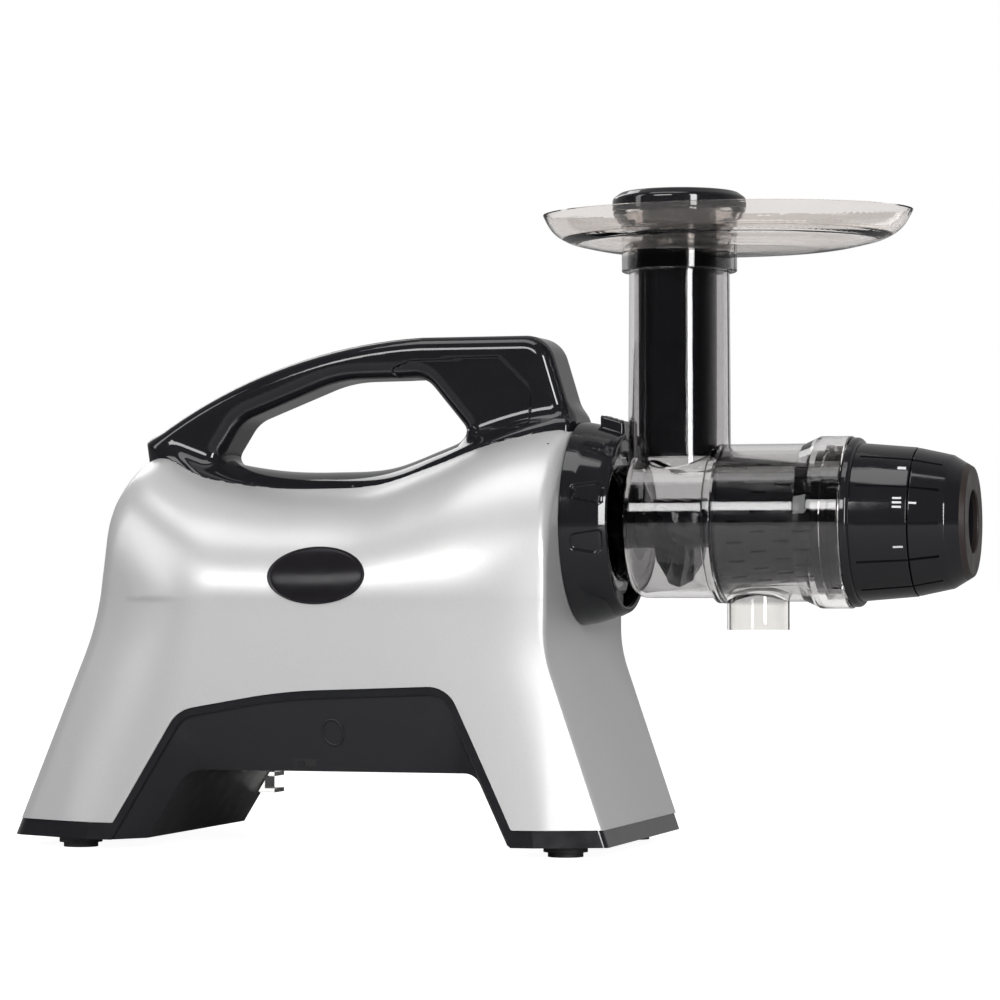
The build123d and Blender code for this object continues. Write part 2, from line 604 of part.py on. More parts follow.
def make_screen():
    """Cone strainer with rows of slots, seated in the drum behind a flange."""
    x0, x1 = SCREEN_X
    r0, r1 = SCREEN_R
    shell = turned([(x0 + 0.1, r0 - SCREEN_WALL), (x1, r1 - SCREEN_WALL), (x1, r1),
                    (x0 + 2.4, r0), (x0 + 2.4, SCREEN_FLANGE_R), (x0 + 0.1, SCREEN_FLANGE_R)])
    slot = Pos(0, 0, AXIS_Z + 28) * Box(SCREEN_SLOT[0], SCREEN_SLOT[1], 12)
    for row in range(SCREEN_ROWS):
        x = x0 + 11 + row * SCREEN_ROW_PITCH
        for i in range(SCREEN_SLOTS):
            angle = (i + 0.5 * (row % 2)) * 360 / SCREEN_SLOTS
            shell -= around_axis(Pos(x, 0, 0) * slot, angle)
    return shell


def make_drum_seal():
    """Lip seal on the rear face of the drum floor."""
    x = DRUM_FLOOR_X[0]
    inner = HUB_R + SHAFT_FIT
    return turned([(x - 3.2, inner), (x, inner), (x, inner + 5.5), (x - 1.4, inner + 5.5),
                   (x - 3.2, inner + 1.6)])


# ================================================================ auger and drive
def auger_section(x, angle):
    """Cross section of the auger at x: a round hub with one tapering fin at angle."""
    tip = flight_radius(x)
    root = hub_radius(x)
    half = math.radians(FLIGHT_ARC / 2)
    land = half * 0.28
    steps = 14
    polar = [(tip, -land), (tip, land)]
    polar += [(root, half + (2 * math.pi - 2 * half) * i / steps) for i in range(steps + 1)]
    points = [(r * math.cos(a + angle), r * math.sin(a + angle)) for r, a in polar]
    return Plane(origin=(x, 0, AXIS_Z), z_dir=(1, 0, 0)) * make_face(Polyline(*points, close=True))


def flight_radius(x):
    """Tip radius of the flight: full in the feed zone, then tapering with the screen."""
    screen_in = SCREEN_R[0] - SCREEN_WALL - 0.6
    screen_out = SCREEN_R[1] - SCREEN_WALL - 1.0
    start = SCREEN_X[0] - 3.0
    if x <= start:
        return min(FLIGHT_R, HUB_R + 6.0 + (x - AUGER_X[0]) * 3.0)
    if x <= start + 4.0:
        return FLIGHT_R + (screen_in - FLIGHT_R) * (x - start) / 4.0
    return screen_in + (screen_out - screen_in) * (x - start - 4.0) / (AUGER_X[1] - start - 4.0)


def hub_radius(x):
    """Hub radius: even under the chute, then growing towards the squeezing end."""
    start = SCREEN_X[0]
    grow = max(0.0, (x - start) / (AUGER_X[1] - start))
    return HUB_R + (AUGER_TIP_R - HUB_R) * grow


def make_auger():
    """One-piece auger: hexagonal tail, hub with a helical flight, and its rounded nose."""
    x0, x1 = AUGER_X
    seat = SPINDLE_X[1] + 1.0
    tail_x = SPINDLE_X[1] - HEX_DEPTH + 1
    turns = (x1 - x0) / FLIGHT_PITCH
    count = round(12 * turns)
    flights = loft([auger_section(x0 + (x1 - x0) * i / count, 2 * math.pi * turns * i / count)
                    for i in range(count + 1)], ruled=True)
    rear = turned([(seat, 0), (x0 + 1, 0), (x0 + 1, HUB_R), (seat, HUB_R)])
    nose = turned([(x1 - 1, 0), (x1 + 10, 0), (x1 + 10, 5), (x1 - 1, AUGER_TIP_R + 0.2)])
    tail = extrude(Plane(origin=(tail_x, 0, AXIS_Z), z_dir=(1, 0, 0)) *
                   RegularPolygon(DRIVE_HEX / 2 - 0.15, 6, major_radius=False), amount=seat - tail_x + 1)
    return rear + flights + nose + tail


def make_spindle():
    """Output spindle with the hexagonal socket that drives the auger."""
    x0, x1 = SPINDLE_X
    body = ring_x(x0, x1, SPINDLE_R)
    socket = Plane(origin=(x1 - HEX_DEPTH, 0, AXIS_Z), z_dir=(1, 0, 0)) * RegularPolygon(
        DRIVE_HEX / 2, 6, major_radius=False)
    return body - extrude(socket, amount=HEX_DEPTH + 1)


def gear_face(teeth, module, phase):
    """Outline of a spur gear with one tooth centred at phase degrees."""
    pitch_r = teeth * module / 2
    tip_r = pitch_r + ADDENDUM * module
    root_r = pitch_r - DEDENDUM * module
    step = 2 * math.pi / teeth
    half_pitch = step * TOOTH_THICKNESS / 2
    slope = math.tan(math.radians(20)) * module / pitch_r
    half_tip = half_pitch - slope * ADDENDUM - 0.01
    half_root = half_pitch + slope * 0.55
    points = []
    for i in range(teeth):
        centre = math.radians(phase) + i * step
        for radius, offset_angle in ((root_r, -half_root), (tip_r, -half_tip),
                                     (tip_r, half_tip), (root_r, half_root)):
            a = centre + offset_angle
            points.append((radius * math.cos(a), radius * math.sin(a)))
    return make_face(Polyline(*points, close=True))


def gear(teeth, module, phase, span, y, z, bore):
    x0, x1 = span
    plane = Plane(origin=(x0, y, z), x_dir=(0, 1, 0), z_dir=(1, 0, 0))
    body = extrude(plane * gear_face(teeth, module, phase), amount=x1 - x0)
    return body - ring_x(x0 - 1, x1 + 1, bore, 0, y, z)


def gear_places():
    """Idler position and the mesh angles, from the two centre distances."""
    far = (OUT_TEETH + IDLER_SMALL_TEETH) * OUT_MODULE / 2
    near = (IDLER_TEETH + MOTOR_TEETH) * IDLER_MODULE / 2
    drop = AXIS_Z - MOTOR_Z
    below = (far * far - near * near + drop * drop) / (2 * drop)
    y = math.sqrt(far * far - below * below)
    z = AXIS_Z - below
    out_angle = math.degrees(math.atan2(z - AXIS_Z, y))
    motor_angle = math.degrees(math.atan2(MOTOR_Z - z, -y))
    return y, z, out_angle, motor_angle


def make_output_gear():
    _, _, angle, _ = gear_places()
    wheel = gear(OUT_TEETH, OUT_MODULE, angle, OUT_GEAR_X, 0, AXIS_Z, SPINDLE_R)
    x0, x1 = OUT_GEAR_X
    web = ring_x(x0 - 1, x0 + 3.5, 24, SPINDLE_R + 5) + ring_x(x1 - 3.5, x1 + 1, 24, SPINDLE_R + 5)
    return wheel - web


def make_idler_gear():
    y, z, _, angle = gear_places()
    wheel = gear(IDLER_TEETH, IDLER_MODULE, angle, IDLER_GEAR_X, y, z, AXLE_R + SHAFT_FIT)
    x0, _ = IDLER_GEAR_X
    return wheel - ring_x(x0 - 1, x0 + 3, 20, 8, y, z)


def make_idler_pinion():
    y, z, out_angle, _ = gear_places()
    phase = out_angle + 180 + 180 / IDLER_SMALL_TEETH
    body = gear(IDLER_SMALL_TEETH, OUT_MODULE, phase, IDLER_PINION_X, y, z, AXLE_R + SHAFT_FIT)
    return body + ring_x(IDLER_GEAR_X[1], IDLER_PINION_X[0], 7, AXLE_R + SHAFT_FIT, y, z)


def make_motor_pinion():
    _, _, _, motor_angle = gear_places()
    phase = motor_angle + 180 + 180 / MOTOR_TEETH
    return gear(MOTOR_TEETH, IDLER_MODULE, phase, MOTOR_PINION_X, 0, MOTOR_Z, PINION_BORE_R)


def make_idler_axle():
    y, z, _, _ = gear_places()
    return ring_x(CASE_X[0] + 1, CASE_X[1] + 2, AXLE_R, 0, y, z)


def case_outline(grow):
    """Gear case chambers as three cylinders, grow wider than the room the gears need."""
    y, z, _, _ = gear_places()
    x0, x1 = CASE_X
    room = 0.0 if grow else CASE_WALL
    out_r, idler_r = case_radii(grow)
    body = ring_x(CASE_STEP_X - grow, x1, out_r)
    body += ring_x(x0 + room, x1, idler_r, 0, y, z)
    body += ring_x(x0 + room, CASE_STEP_X, 8.5 + grow, 0, 0, MOTOR_Z)
    return body


def make_gear_case():
    """Cup round the gear train; its open front is closed by the cover."""
    y, z, _, _ = gear_places()
    case = case_outline(CASE_WALL) - case_outline(0.0)
    case += ring_x(CASE_STEP_X - BUSH_WIDTH, CASE_STEP_X, BUSH_R + 2.5) - case_outline(0.0)
    case -= ring_x(CASE_STEP_X - BUSH_WIDTH - 1, CASE_STEP_X + 1, BUSH_R)
    case -= ring_x(CASE_X[0] - 1, CASE_X[0] + CASE_WALL + 1, MOTOR_SHAFT_R + 1, 0, 0, MOTOR_Z)
    case -= ring_x(CASE_X[0] + 1, CASE_X[0] + CASE_WALL + 1, AXLE_R, 0, y, z)
    for cy, cz in cover_screw_places():
        x0 = SOCKET_X[0] - COVER_SCREW_LENGTH - 1
        case -= ring_x(x0, CASE_X[1] + 1, COVER_SCREW_R + 0.1, 0, cy, cz)
    return case


def make_gear_cover():
    """Flat cover bolted over the gear case, with the front bush seat."""
    y, z, _, _ = gear_places()
    x0 = CASE_X[1]
    x1 = SOCKET_X[0]
    out_r, idler_r = case_radii(CASE_WALL)
    cover = ring_x(x0, x1, out_r) + ring_x(x0, x1, idler_r, 0, y, z)
    cover -= ring_x(x0 - 1, x1 + 1, BUSH_R)
    cover -= ring_x(x0 - 1, x0 + 2, AXLE_R, 0, y, z)
    for cy, cz in cover_screw_places():
        cover -= ring_x(x0 - 1, x1 + 1, COVER_SCREW_R + 0.1, 0, cy, cz)
        cover -= ring_x(x1 - COVER_SCREW_HEAD[1], x1 + 1, COVER_SCREW_HEAD[0] + 0.1, 0, cy, cz)
    return cover


def case_radii(grow):
    """Radii of the output and idler chambers, grow wider than the room the gears need."""
    out_r = OUT_TEETH * OUT_MODULE / 2 + OUT_MODULE + 1.6 + grow
    idler_r = IDLER_TEETH * IDLER_MODULE / 2 + IDLER_MODULE + 1.2 + grow
    return out_r, idler_r


def cover_screw_places():
    """(y, z) of the cover screws, all in the rim of the gear case."""
    y, z, _, _ = gear_places()
    out_r, idler_r = case_radii(CASE_WALL / 2)
    places = []
    for angle in (40, 90, 140, 190, 240):
        a = math.radians(angle)
        places.append((out_r * math.cos(a), AXIS_Z + out_r * math.sin(a)))
    for angle in (-100, -50, 0):
        a = math.radians(angle)
        places.append((y + idler_r * math.cos(a), z + idler_r * math.sin(a)))
    return places


def make_cover_screws():
    head_r, head_x = COVER_SCREW_HEAD
    x1 = SOCKET_X[0]
    screws = []
    for y, z in cover_screw_places():
        shank = ring_x(x1 - COVER_SCREW_LENGTH, x1 - head_x, COVER_SCREW_R, 0, y, z)
        screws.append(shank + ring_x(x1 - head_x, x1 - 0.2, head_r, 0, y, z))
    return Compound(children=screws)


def make_bushes():
    """Two sintered bushes for the spindle."""
    rear = ring_x(CASE_STEP_X - BUSH_WIDTH, CASE_STEP_X, BUSH_R, SPINDLE_R + SHAFT_FIT)
    front = ring_x(CASE_X[1], SOCKET_X[0], BUSH_R, SPINDLE_R + SHAFT_FIT)
    return rear, front


# ================================================================ motor
def ring_m(x0, x1, outer, inner=0.0):
    return ring_x(x0, x1, outer, inner, 0, MOTOR_Z)


def make_stator():
    x0, x1 = STATOR_X
    core = ring_m(x0, x1, STATOR_R, STATOR_BORE_R)
    for i in range(STATOR_SLOTS):
        a = 2 * math.pi * i / STATOR_SLOTS
        r = (STATOR_BORE_R + 28.5) / 2 + 0.8
        core -= ring_x(x0 - 1, x1 + 1, 3.0, 0, r * math.cos(a), MOTOR_Z + r * math.sin(a))
    return core


def make_windings():
    """End turns of the stator coils, one bundle at each end of the core."""
    bundles = []
    for x0, x1 in ((STATOR_X[0] - 9, STATOR_X[0]), (STATOR_X[1], STATOR_X[1] + 9)):
        plane = Plane(origin=(0, 0, MOTOR_Z), x_dir=(1, 0, 0), z_dir=(0, -1, 0))
        profile = plane * face_of([(x0, 22.5), (x1, 22.5), (x1, 30.5), (x0, 30.5)], 2.5)
        bundles.append(revolve(profile, Axis((0, 0, MOTOR_Z), (1, 0, 0))))
    return Compound(children=bundles)


def make_rotor():
    x0, x1 = STATOR_X
    core = ring_m(x0 - 1, x1 + 1, ROTOR_R, MOTOR_SHAFT_R)
    core += ring_m(x0 - 4, x0 - 1, ROTOR_R - 2, 12)
    core += ring_m(x1 + 1, x1 + 4, ROTOR_R - 2, 12)
    return core


def make_motor_shaft():
    nose = ring_m(BRACKET_X[1][0] - 6, MOTOR_PINION_X[1], PINION_BORE_R)
    return ring_m(FAN_X[0] - 1, BRACKET_X[1][1] + 4, MOTOR_SHAFT_R) + nose


def make_brackets():
    """Rear and front end shields of the motor, each with a bush seat and four posts."""
    (rx0, rx1), (fx0, fx1) = BRACKET_X
    rear = ring_m(rx0, rx1, STATOR_R, MOTOR_BUSH_R)
    front = ring_m(fx0, fx1, STATOR_R, MOTOR_BUSH_R) + ring_m(fx1, CASE_X[0], 12, MOTOR_BUSH_R)
    for i in range(4):
        a = math.radians(45 + 90 * i)
        y = SHIELD_POST_AT * math.cos(a)
        z = MOTOR_Z + SHIELD_POST_AT * math.sin(a)
        rear += ring_x(rx1 - 1, STATOR_X[0], SHIELD_POST_R, 0, y, z)
        front += ring_x(STATOR_X[1], fx0 + 1, SHIELD_POST_R, 0, y, z)
    return rear, front


def make_motor_bushes():
    rear = ring_m(*BRACKET_X[0], MOTOR_BUSH_R, MOTOR_SHAFT_R + SHAFT_FIT)
    front = ring_m(*BRACKET_X[1], MOTOR_BUSH_R, MOTOR_SHAFT_R + SHAFT_FIT)
    return Compound(children=[rear, front])


def make_fan():
    x0, x1 = FAN_X
    fan = ring_m(x0, x1, 8, MOTOR_SHAFT_R) + ring_m(x1 - 1.2, x1, FAN_R, 7)
    for i in range(FAN_BLADES):
        blade = Pos((x0 + x1) / 2, 0, MOTOR_Z + (FAN_R + 7) / 2) * Box(x1 - x0, 1.4, FAN_R - 7)
        fan += blade.rotate(Axis((0, 0, MOTOR_Z), (1, 0, 0)), i * 360 / FAN_BLADES)
    return fan


def make_cradle():
    """Block that carries the motor on the arch of the base tray."""
    x0, x1 = STATOR_X
    block = Pos((x0 + x1) / 2, 0, 85) * Box(x1 - x0 - 12, 56, 44)
    block -= ring_m(x0 - 2, x1 + 2, STATOR_R)
    block -= Pos((x0 + x1) / 2, 0, 85) * Box(x1 - x0 - 20, 20, 60)
    return block - along_y(arch_face(), 60)


# ================================================================ electrics
def make_switch():
    """Rocker switch body with its bezel on the rear wall."""
    width, height = SWITCH_SIZE
    bezel = Box(width + 6, height + 6, 2.4)
    bezel = fillet(bezel.edges().filter_by(Axis.Z), 3)
    switch = Pos(0, 0, 1.2) * bezel + Pos(0, 0, -10) * Box(width - 0.2, height - 0.2, 21)
    switch -= Box(ROCKER_SIZE[0] + 0.8, ROCKER_SIZE[1] + 4.0, 14)
    for x in (-7, 7):
        switch += Pos(x, 0, -24) * Box(5, 0.8, 8)
    return on_wall(SWITCH_Z, switch)


def make_rocker():
    """Rocker key: a shallow V that tips about its own pin."""
    width, height = ROCKER_SIZE
    half = height / 2
    profile = [(0, 1.6), (half, 4.4), (half + 0.4, 0.6), (3, -4.0), (-3, -4.0), (-half - 0.4, 0.6),
               (-half, 4.4)]
    face = Plane.YZ.offset(-width / 2) * face_of(profile, [8, 0.6, 0.8, 1, 1, 0.8, 0.6])
    return on_wall(SWITCH_Z, extrude(face, amount=width))


def make_inlet():
    """Recessed mains inlet with three bare pins."""
    width, height = INLET_SIZE
    flange = fillet(Box(width + 8, height + 6, 2.4).edges().filter_by(Axis.Z), 3)
    inlet = Pos(0, 0, 1.2) * flange + Pos(0, 0, -11) * Box(width - 0.2, height - 0.2, 23)
    inlet -= Pos(0, 0, -6) * Box(width - 5, height - 5, 22)
    for x, y in ((-7, -2), (0, 2.5), (7, -2)):
        inlet += Pos(x, y, -12) * Box(2, 4, 12)
    return on_wall(INLET_Z, inlet)


def make_capacitor():
    x, y = CAPACITOR_AT
    can = Pos(x, y, SHELL_BASE_Z + 23) * Cylinder(14, 46)
    can = fillet(can.edges().sort_by(Axis.Z)[-1], 2)
    tags = [Pos(x, y + s * 5, SHELL_BASE_Z + 50) * Box(6, 0.8, 9) for s in (-1, 1)]
    return can + tags[0] + tags[1]


def make_terminal_block():
    x, y = TERMINAL_AT
    block = Pos(x, y, SHELL_BASE_Z + 8) * Box(16, 34, 16)
    for i in range(4):
        block -= Pos(x, y - 12 + 8 * i, SHELL_BASE_Z + 14) * Box(18, 5, 5)
    return block


def make_cable_clip():
    """Clear hook on the rear leg lining under the belly."""
    y0, y1 = CLIP_Y
    face = face_of(CLIP_OUTLINE)
    clip = Pos(0, (y0 + y1) / 2, 0) * along_y(face, (y1 - y0) / 2)
    return clip - along_y(lining_face(), 100)


# ================================================================ cap and dial
def grip_angles():
    """Grooves round the cap: even, but for one wide panel that carries the marks."""
    step = (360.0 - GRIP_PANEL) / (GRIP_COUNT - 1)
    return [GRIP_START + i * step for i in range(GRIP_COUNT)]


def grooves(x0, x1, r0, r1):
    """Cutters for straight grooves along a slightly conical barrel."""
    cutters = []
    tilt = math.degrees(math.atan2(r1 - r0, x1 - x0))
    for angle in grip_angles():
        bar = Box(x1 - x0, GROOVE_WIDTH, 2 * GROOVE_DEPTH).rotate(Axis.Y, -tilt)
        bar = Pos((x0 + x1) / 2, 0, AXIS_Z + (r0 + r1) / 2) * bar
        cutters.append(around_axis(bar, angle))
    return cutters


def make_end_cap():
    """Screw cap with a bayonet spigot inside the drum mouth."""
    x0, x1 = CAP_X
    r0, r1 = CAP_R
    spigot = DRUM_R - DRUM_WALL - TURN_GAP
    bore = spigot - CAP_WALL
    flange_x = x0 + 4.2
    neck = NECK_R + TURN_GAP
    profile = [(SPIGOT_X, spigot), (x0, spigot), (x0, CAP_FLANGE_R), (flange_x, CAP_FLANGE_R),
               (flange_x, r0), (x1, r1), (x1, neck), (x1 - 5, neck), (x1 - 5, bore - 4),
               (x0 + 10, bore), (SPIGOT_X, bore)]
    cap = turned(profile, [0.5, 0, 0.8, 2.0, 0, 0.6, 0.3, 0.3, 2, 3, 0.5])
    gx0, gx1 = CAP_LUG_X
    for i in range(LUG_COUNT):
        cap += ring_sector(gx0, gx1, DRUM_R - DRUM_WALL + CAP_LUG_HEIGHT, spigot - 0.5, CAP_LUG_ARC,
                           i * 360 / LUG_COUNT)
    for cutter in grooves(flange_x + 2.5, x1 + 1, r0 - 0.25, r1 - 0.1):
        cap -= cutter
    return cap


def make_cap_seal():
    """Silicone ring inside the cap that presses on the front of the screen."""
    x = SCREEN_X[1] + TURN_GAP
    outer = DRUM_R - DRUM_WALL - TURN_GAP - CAP_WALL
    return ring_x(x, x + 2.4, outer, outer - 4.8)


def make_dial():
    """Pressure dial that turns on the cap, with the pulp tube through its middle."""
    x0, x1 = DIAL_X
    r0, r1, r2 = DIAL_R
    face = x1 - NOZZLE_RING
    end_r = r1 + (r2 - r1) * (face - DIAL_CONE_X) / (x1 - DIAL_CONE_X)
    hook = CAP_X[1] - 5 - TURN_GAP
    profile = [(x0, r0), (DIAL_CONE_X, r1), (face, end_r), (face, NOZZLE_R), (hook - 4, NOZZLE_R),
               (hook - 4, NECK_R - 0.8), (hook - 1.6, NECK_R + 1.4), (hook, NECK_R + 1.4),
               (hook, NECK_R), (x0 + 3, NECK_R), (x0 + 3, r0 - 4), (x0, r0 - 4)]
    dial = turned(profile, [0.6, 1.5, 0, 0, 0.5, 0, 0, 0, 0, 0, 0, 0])
    for cutter in grooves(x0 - 1, DIAL_CONE_X - 2.5, r0 - 0.1, r1 - 0.2):
        dial -= cutter
    return dial


def make_nozzle_ring():
    """Matte face ring round the pulp outlet."""
    x1 = DIAL_X[1]
    x0 = x1 - NOZZLE_RING
    r1, r2 = DIAL_R[1], DIAL_R[2]
    end_r = r1 + (r2 - r1) * (x0 - DIAL_CONE_X) / (x1 - DIAL_CONE_X)
    return turned([(x0, NOZZLE_R), (x1, NOZZLE_R), (x1, r2), (x0, end_r)], [0, 0.8, 1.0, 0])


# ================================================================ tray and pusher
def spun(points, radii=0.0, x=CHUTE_X):
    """Solid of revolution about a vertical axis from (radius, z) points."""
    plane = Plane(origin=(x, 0, 0), x_dir=(1, 0, 0), z_dir=(0, -1, 0))
    return revolve(plane * face_of(points, radii), Axis((x, 0, 0), (0, 0, 1)))


def bowl(rim_r, rim_z, floor_z, inset):
    """Solid of a shallow bowl, open side up, before it is squeezed to an oval."""
    points = [(0, floor_z), (rim_r * 0.62, floor_z + 1.0), (rim_r * 0.87, floor_z + 5.8),
              (rim_r * 0.955, rim_z - 7.4), (rim_r - inset * 0.2, rim_z), (rim_r, rim_z + 20),
              (0, rim_z + 20)]
    return spun(points, [0, 90, 26, 16, 4, 0, 0], TRAY_X)


def make_tray():
    """Oval feed tray with the funnel and sleeve that slip over the chute."""
    half_x, half_y = TRAY_HALF
    squeeze = (1, half_y / half_x, 1)
    floor_z = TRAY_RIM_Z - TRAY_DEPTH
    outer = bowl(half_x, TRAY_RIM_Z, floor_z, 0.0)
    outer = outer & (Pos(TRAY_X, 0, TRAY_RIM_Z - TRAY_DEPTH) * Box(3 * half_x, 3 * half_x, 2 * TRAY_DEPTH))
    inner = bowl(half_x - TRAY_WALL, TRAY_RIM_Z + 0.01, floor_z + TRAY_WALL, 1.0)
    dish = scale(outer - inner, squeeze, about=(TRAY_X, 0, floor_z))
    z0, z1 = SLEEVE_Z
    ledge = CHUTE_TOP + 0.2
    top_bore = CHUTE_R[0] - CHUTE_WALL
    sleeve = spun([(SLEEVE_BORE_R, z0), (SLEEVE_R, z0), (SLEEVE_R, z1), (SLEEVE_TOP_R, TRAY_RIM_Z - 1.5),
                   (SLEEVE_TOP_R, TRAY_RIM_Z + 0.3), (SLEEVE_TOP_R - 2, TRAY_RIM_Z + 0.3),
                   (top_bore, ledge + 2), (top_bore, ledge), (SLEEVE_BORE_R, ledge)],
                  [0.4, 0.8, 5, 3, 0, 0, 3, 0, 0])
    hole = Pos(CHUTE_X, 0, floor_z) * Cylinder(SLEEVE_R - 0.5, 3 * TRAY_DEPTH)
    return (dish - hole) + sleeve


def make_pusher_tube():
    """Hollow pusher with four guide ribs, closed at its foot."""
    foot = PUSHER_FOOT_Z
    top = TRAY_RIM_Z + PUSHER_CAP_SEAT
    wall = 2.2
    tube = spun([(0, foot), (PUSHER_R, foot), (PUSHER_R, top), (PUSHER_R - wall, top),
                 (PUSHER_R - wall, foot + 3), (0, foot + 3)], [0, 1.2, 0, 0, 2, 0])
    for i in range(4):
        reach = PUSHER_RIB_R - PUSHER_R + 1
        rib = Pos(PUSHER_R - 1 + reach / 2, 0, (foot + 6 + CHUTE_TOP - 4) / 2) * Box(
            reach, 1.6, CHUTE_TOP - 4 - foot - 6)
        tube += Pos(CHUTE_X, 0, 0) * rib.rotate(Axis.Z, 45 + 90 * i)
    return tube


def make_pusher_cap():
    z0 = TRAY_RIM_Z + PUSHER_CAP_SEAT
    z1 = z0 + PUSHER_CAP_HEIGHT
    return spun([(0, z0), (PUSHER_CAP_R - 1, z0), (PUSHER_CAP_R, z0 + 1), (PUSHER_CAP_R, z1 - 3),
                 (PUSHER_CAP_R - 4, z1), (0, z1 - 0.6)], [0, 0.6, 0.6, 2.5, 4, 0])


def main():
    os.makedirs("parts", exist_ok=True)
    outer = base_unit()
    inner = base_unit(HOUSING_WALL)
    rear_bush, front_bush = make_bushes()
    rear_shield, front_shield = make_brackets()
    pieces = {
        "housing_shell": make_housing_shell(outer, inner),
        "base_tray": make_base_tray(),
        "underbody": make_underbody(),
        "handle": make_handle(outer),
        "badge": make_badge(outer),
        "feet": make_feet(),
        "foot_screws": make_foot_screws(),
        "socket": make_socket(inner),
        "locking_ring": make_locking_ring(),
        "ring_tab": make_ring_tab(),
        "drum": make_drum(),
        "screen": make_screen(),
        "drum_seal": make_drum_seal(),
        "auger": make_auger(),
        "drive_spindle": make_spindle(),
        "output_gear": make_output_gear(),
        "idler_gear": make_idler_gear(),
        "idler_pinion": make_idler_pinion(),
        "idler_axle": make_idler_axle(),
        "motor_pinion": make_motor_pinion(),
        "gear_case": make_gear_case(),
        "gear_cover": make_gear_cover(),
        "cover_screws": make_cover_screws(),
        "rear_bush": rear_bush,
        "front_bush": front_bush,
        "motor_stator": make_stator(),
        "motor_windings": make_windings(),
        "motor_rotor": make_rotor(),
        "motor_shaft": make_motor_shaft(),
        "motor_rear_shield": rear_shield,
        "motor_front_shield": front_shield,
        "motor_bushes": make_motor_bushes(),
        "cooling_fan": make_fan(),
        "motor_cradle": make_cradle(),
        "switch_body": make_switch(),
        "switch_rocker": make_rocker(),
        "mains_inlet": make_inlet(),
        "capacitor": make_capacitor(),
        "terminal_block": make_terminal_block(),
        "cable_clip": make_cable_clip(),
        "end_cap": make_end_cap(),
        "cap_seal": make_cap_seal(),
        "adjusting_dial": make_dial(),
        "nozzle_ring": make_nozzle_ring(),
        "feed_tray": make_tray(),
        "pusher_tube": make_pusher_tube(),
        "pusher_cap": make_pusher_cap(),
    }
    for node, shape in pieces.items():
        export_step(shape, f"parts/{node}.step")
        print(node, len(shape.solids()), round(shape.volume))


main()
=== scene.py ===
"""Looks of a horizontal cold press juicer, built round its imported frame.

The named sizes are millimetres in the frame's own axes, and meshes are made in metres.
"""
import math

import bmesh
import bpy
import numpy as np
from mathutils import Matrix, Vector


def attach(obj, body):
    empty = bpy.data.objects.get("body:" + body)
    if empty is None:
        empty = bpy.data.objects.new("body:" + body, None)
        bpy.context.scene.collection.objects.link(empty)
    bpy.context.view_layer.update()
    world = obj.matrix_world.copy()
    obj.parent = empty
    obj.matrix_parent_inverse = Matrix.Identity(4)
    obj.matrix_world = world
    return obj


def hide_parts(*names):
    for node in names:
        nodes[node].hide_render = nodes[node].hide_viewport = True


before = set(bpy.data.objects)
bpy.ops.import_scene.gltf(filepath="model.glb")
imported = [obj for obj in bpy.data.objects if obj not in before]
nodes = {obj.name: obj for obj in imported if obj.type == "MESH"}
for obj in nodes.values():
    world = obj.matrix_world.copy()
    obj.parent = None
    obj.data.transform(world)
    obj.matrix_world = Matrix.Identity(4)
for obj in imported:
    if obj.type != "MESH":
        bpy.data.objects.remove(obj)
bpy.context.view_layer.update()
MM = 0.001

# ---------------------------------------------------------------- sizes of the base unit
AXIS_Z = 150.0
SHELL_BASE_Z = 12.5
SPRING_Z = 115.0            # height where the side walls turn into the vault
LEAN_SOFT = 14.0            # drop below it over which the walls take up their lean
LEAN_FOOT_Z = -20.0         # height where the leaning walls reach the full half width
HOUSING_WALL = 3.0
HOUSING_REACH, HOUSING_CELL = ((-228, -86, 4), (74, 86, 202)), 2.0
FRONT_LINE = ((40.8, 260.0), (40.8, 91.0), (70.4, 4.7))
FRONT_BEND = 60.0
FRONT_HALF = 68.0
FRONT_FACET = (36.0, 14.0)
REAR_LINE = ((-162.9, 260.0), (-181.9, 104.2), (-223.1, 4.7))
REAR_BEND = 120.0
REAR_HALF = 57.0
REAR_FACET = (50.0, 25.0)
HALF_WIDTH = 82.7
VAULT = np.array([          # x, half width, top
    (-240, 60, 182), (-215, 66, 186), (-185, 70, 188.4), (-160, 75.5, 184), (-135, 79, 175.5),
    (-110, 79.3, 171), (-80, 79.3, 169.8), (-50, 79.3, 171.8), (-25, 79.2, 180.5),
    (0, 78.2, 190.3), (25, 73.5, 196.3), (50, 67.3, 197.4), (85, 60, 197.4)], float)
COLLAR_HOLE_R, COLLAR_FROM_X = 43.8, 20.0
REAR_TO_X = -150.0          # the rear openings end here, short of the front
ARCH = ((-175.7, -10.0), (-130.3, 64.4), (-80.0, 73.4), (-1.6, 76.3), (38.8, -10.0))
ARCH_RADII = (0, 16, 260, 14, 0)
SWITCH_Z, SWITCH_SIZE = 140.0, (30.0, 22.0)
INLET_Z, INLET_SIZE = 70.0, (27.4, 20.0)
EDGE_BLEND = {"front": 2.0, "side": 2.4, "rear": 9.0, "crown": 7.0, "rear_crown": 16.0}
CROWN_RISE = 50.0           # height above SPRING_Z where the crown's blends are reached

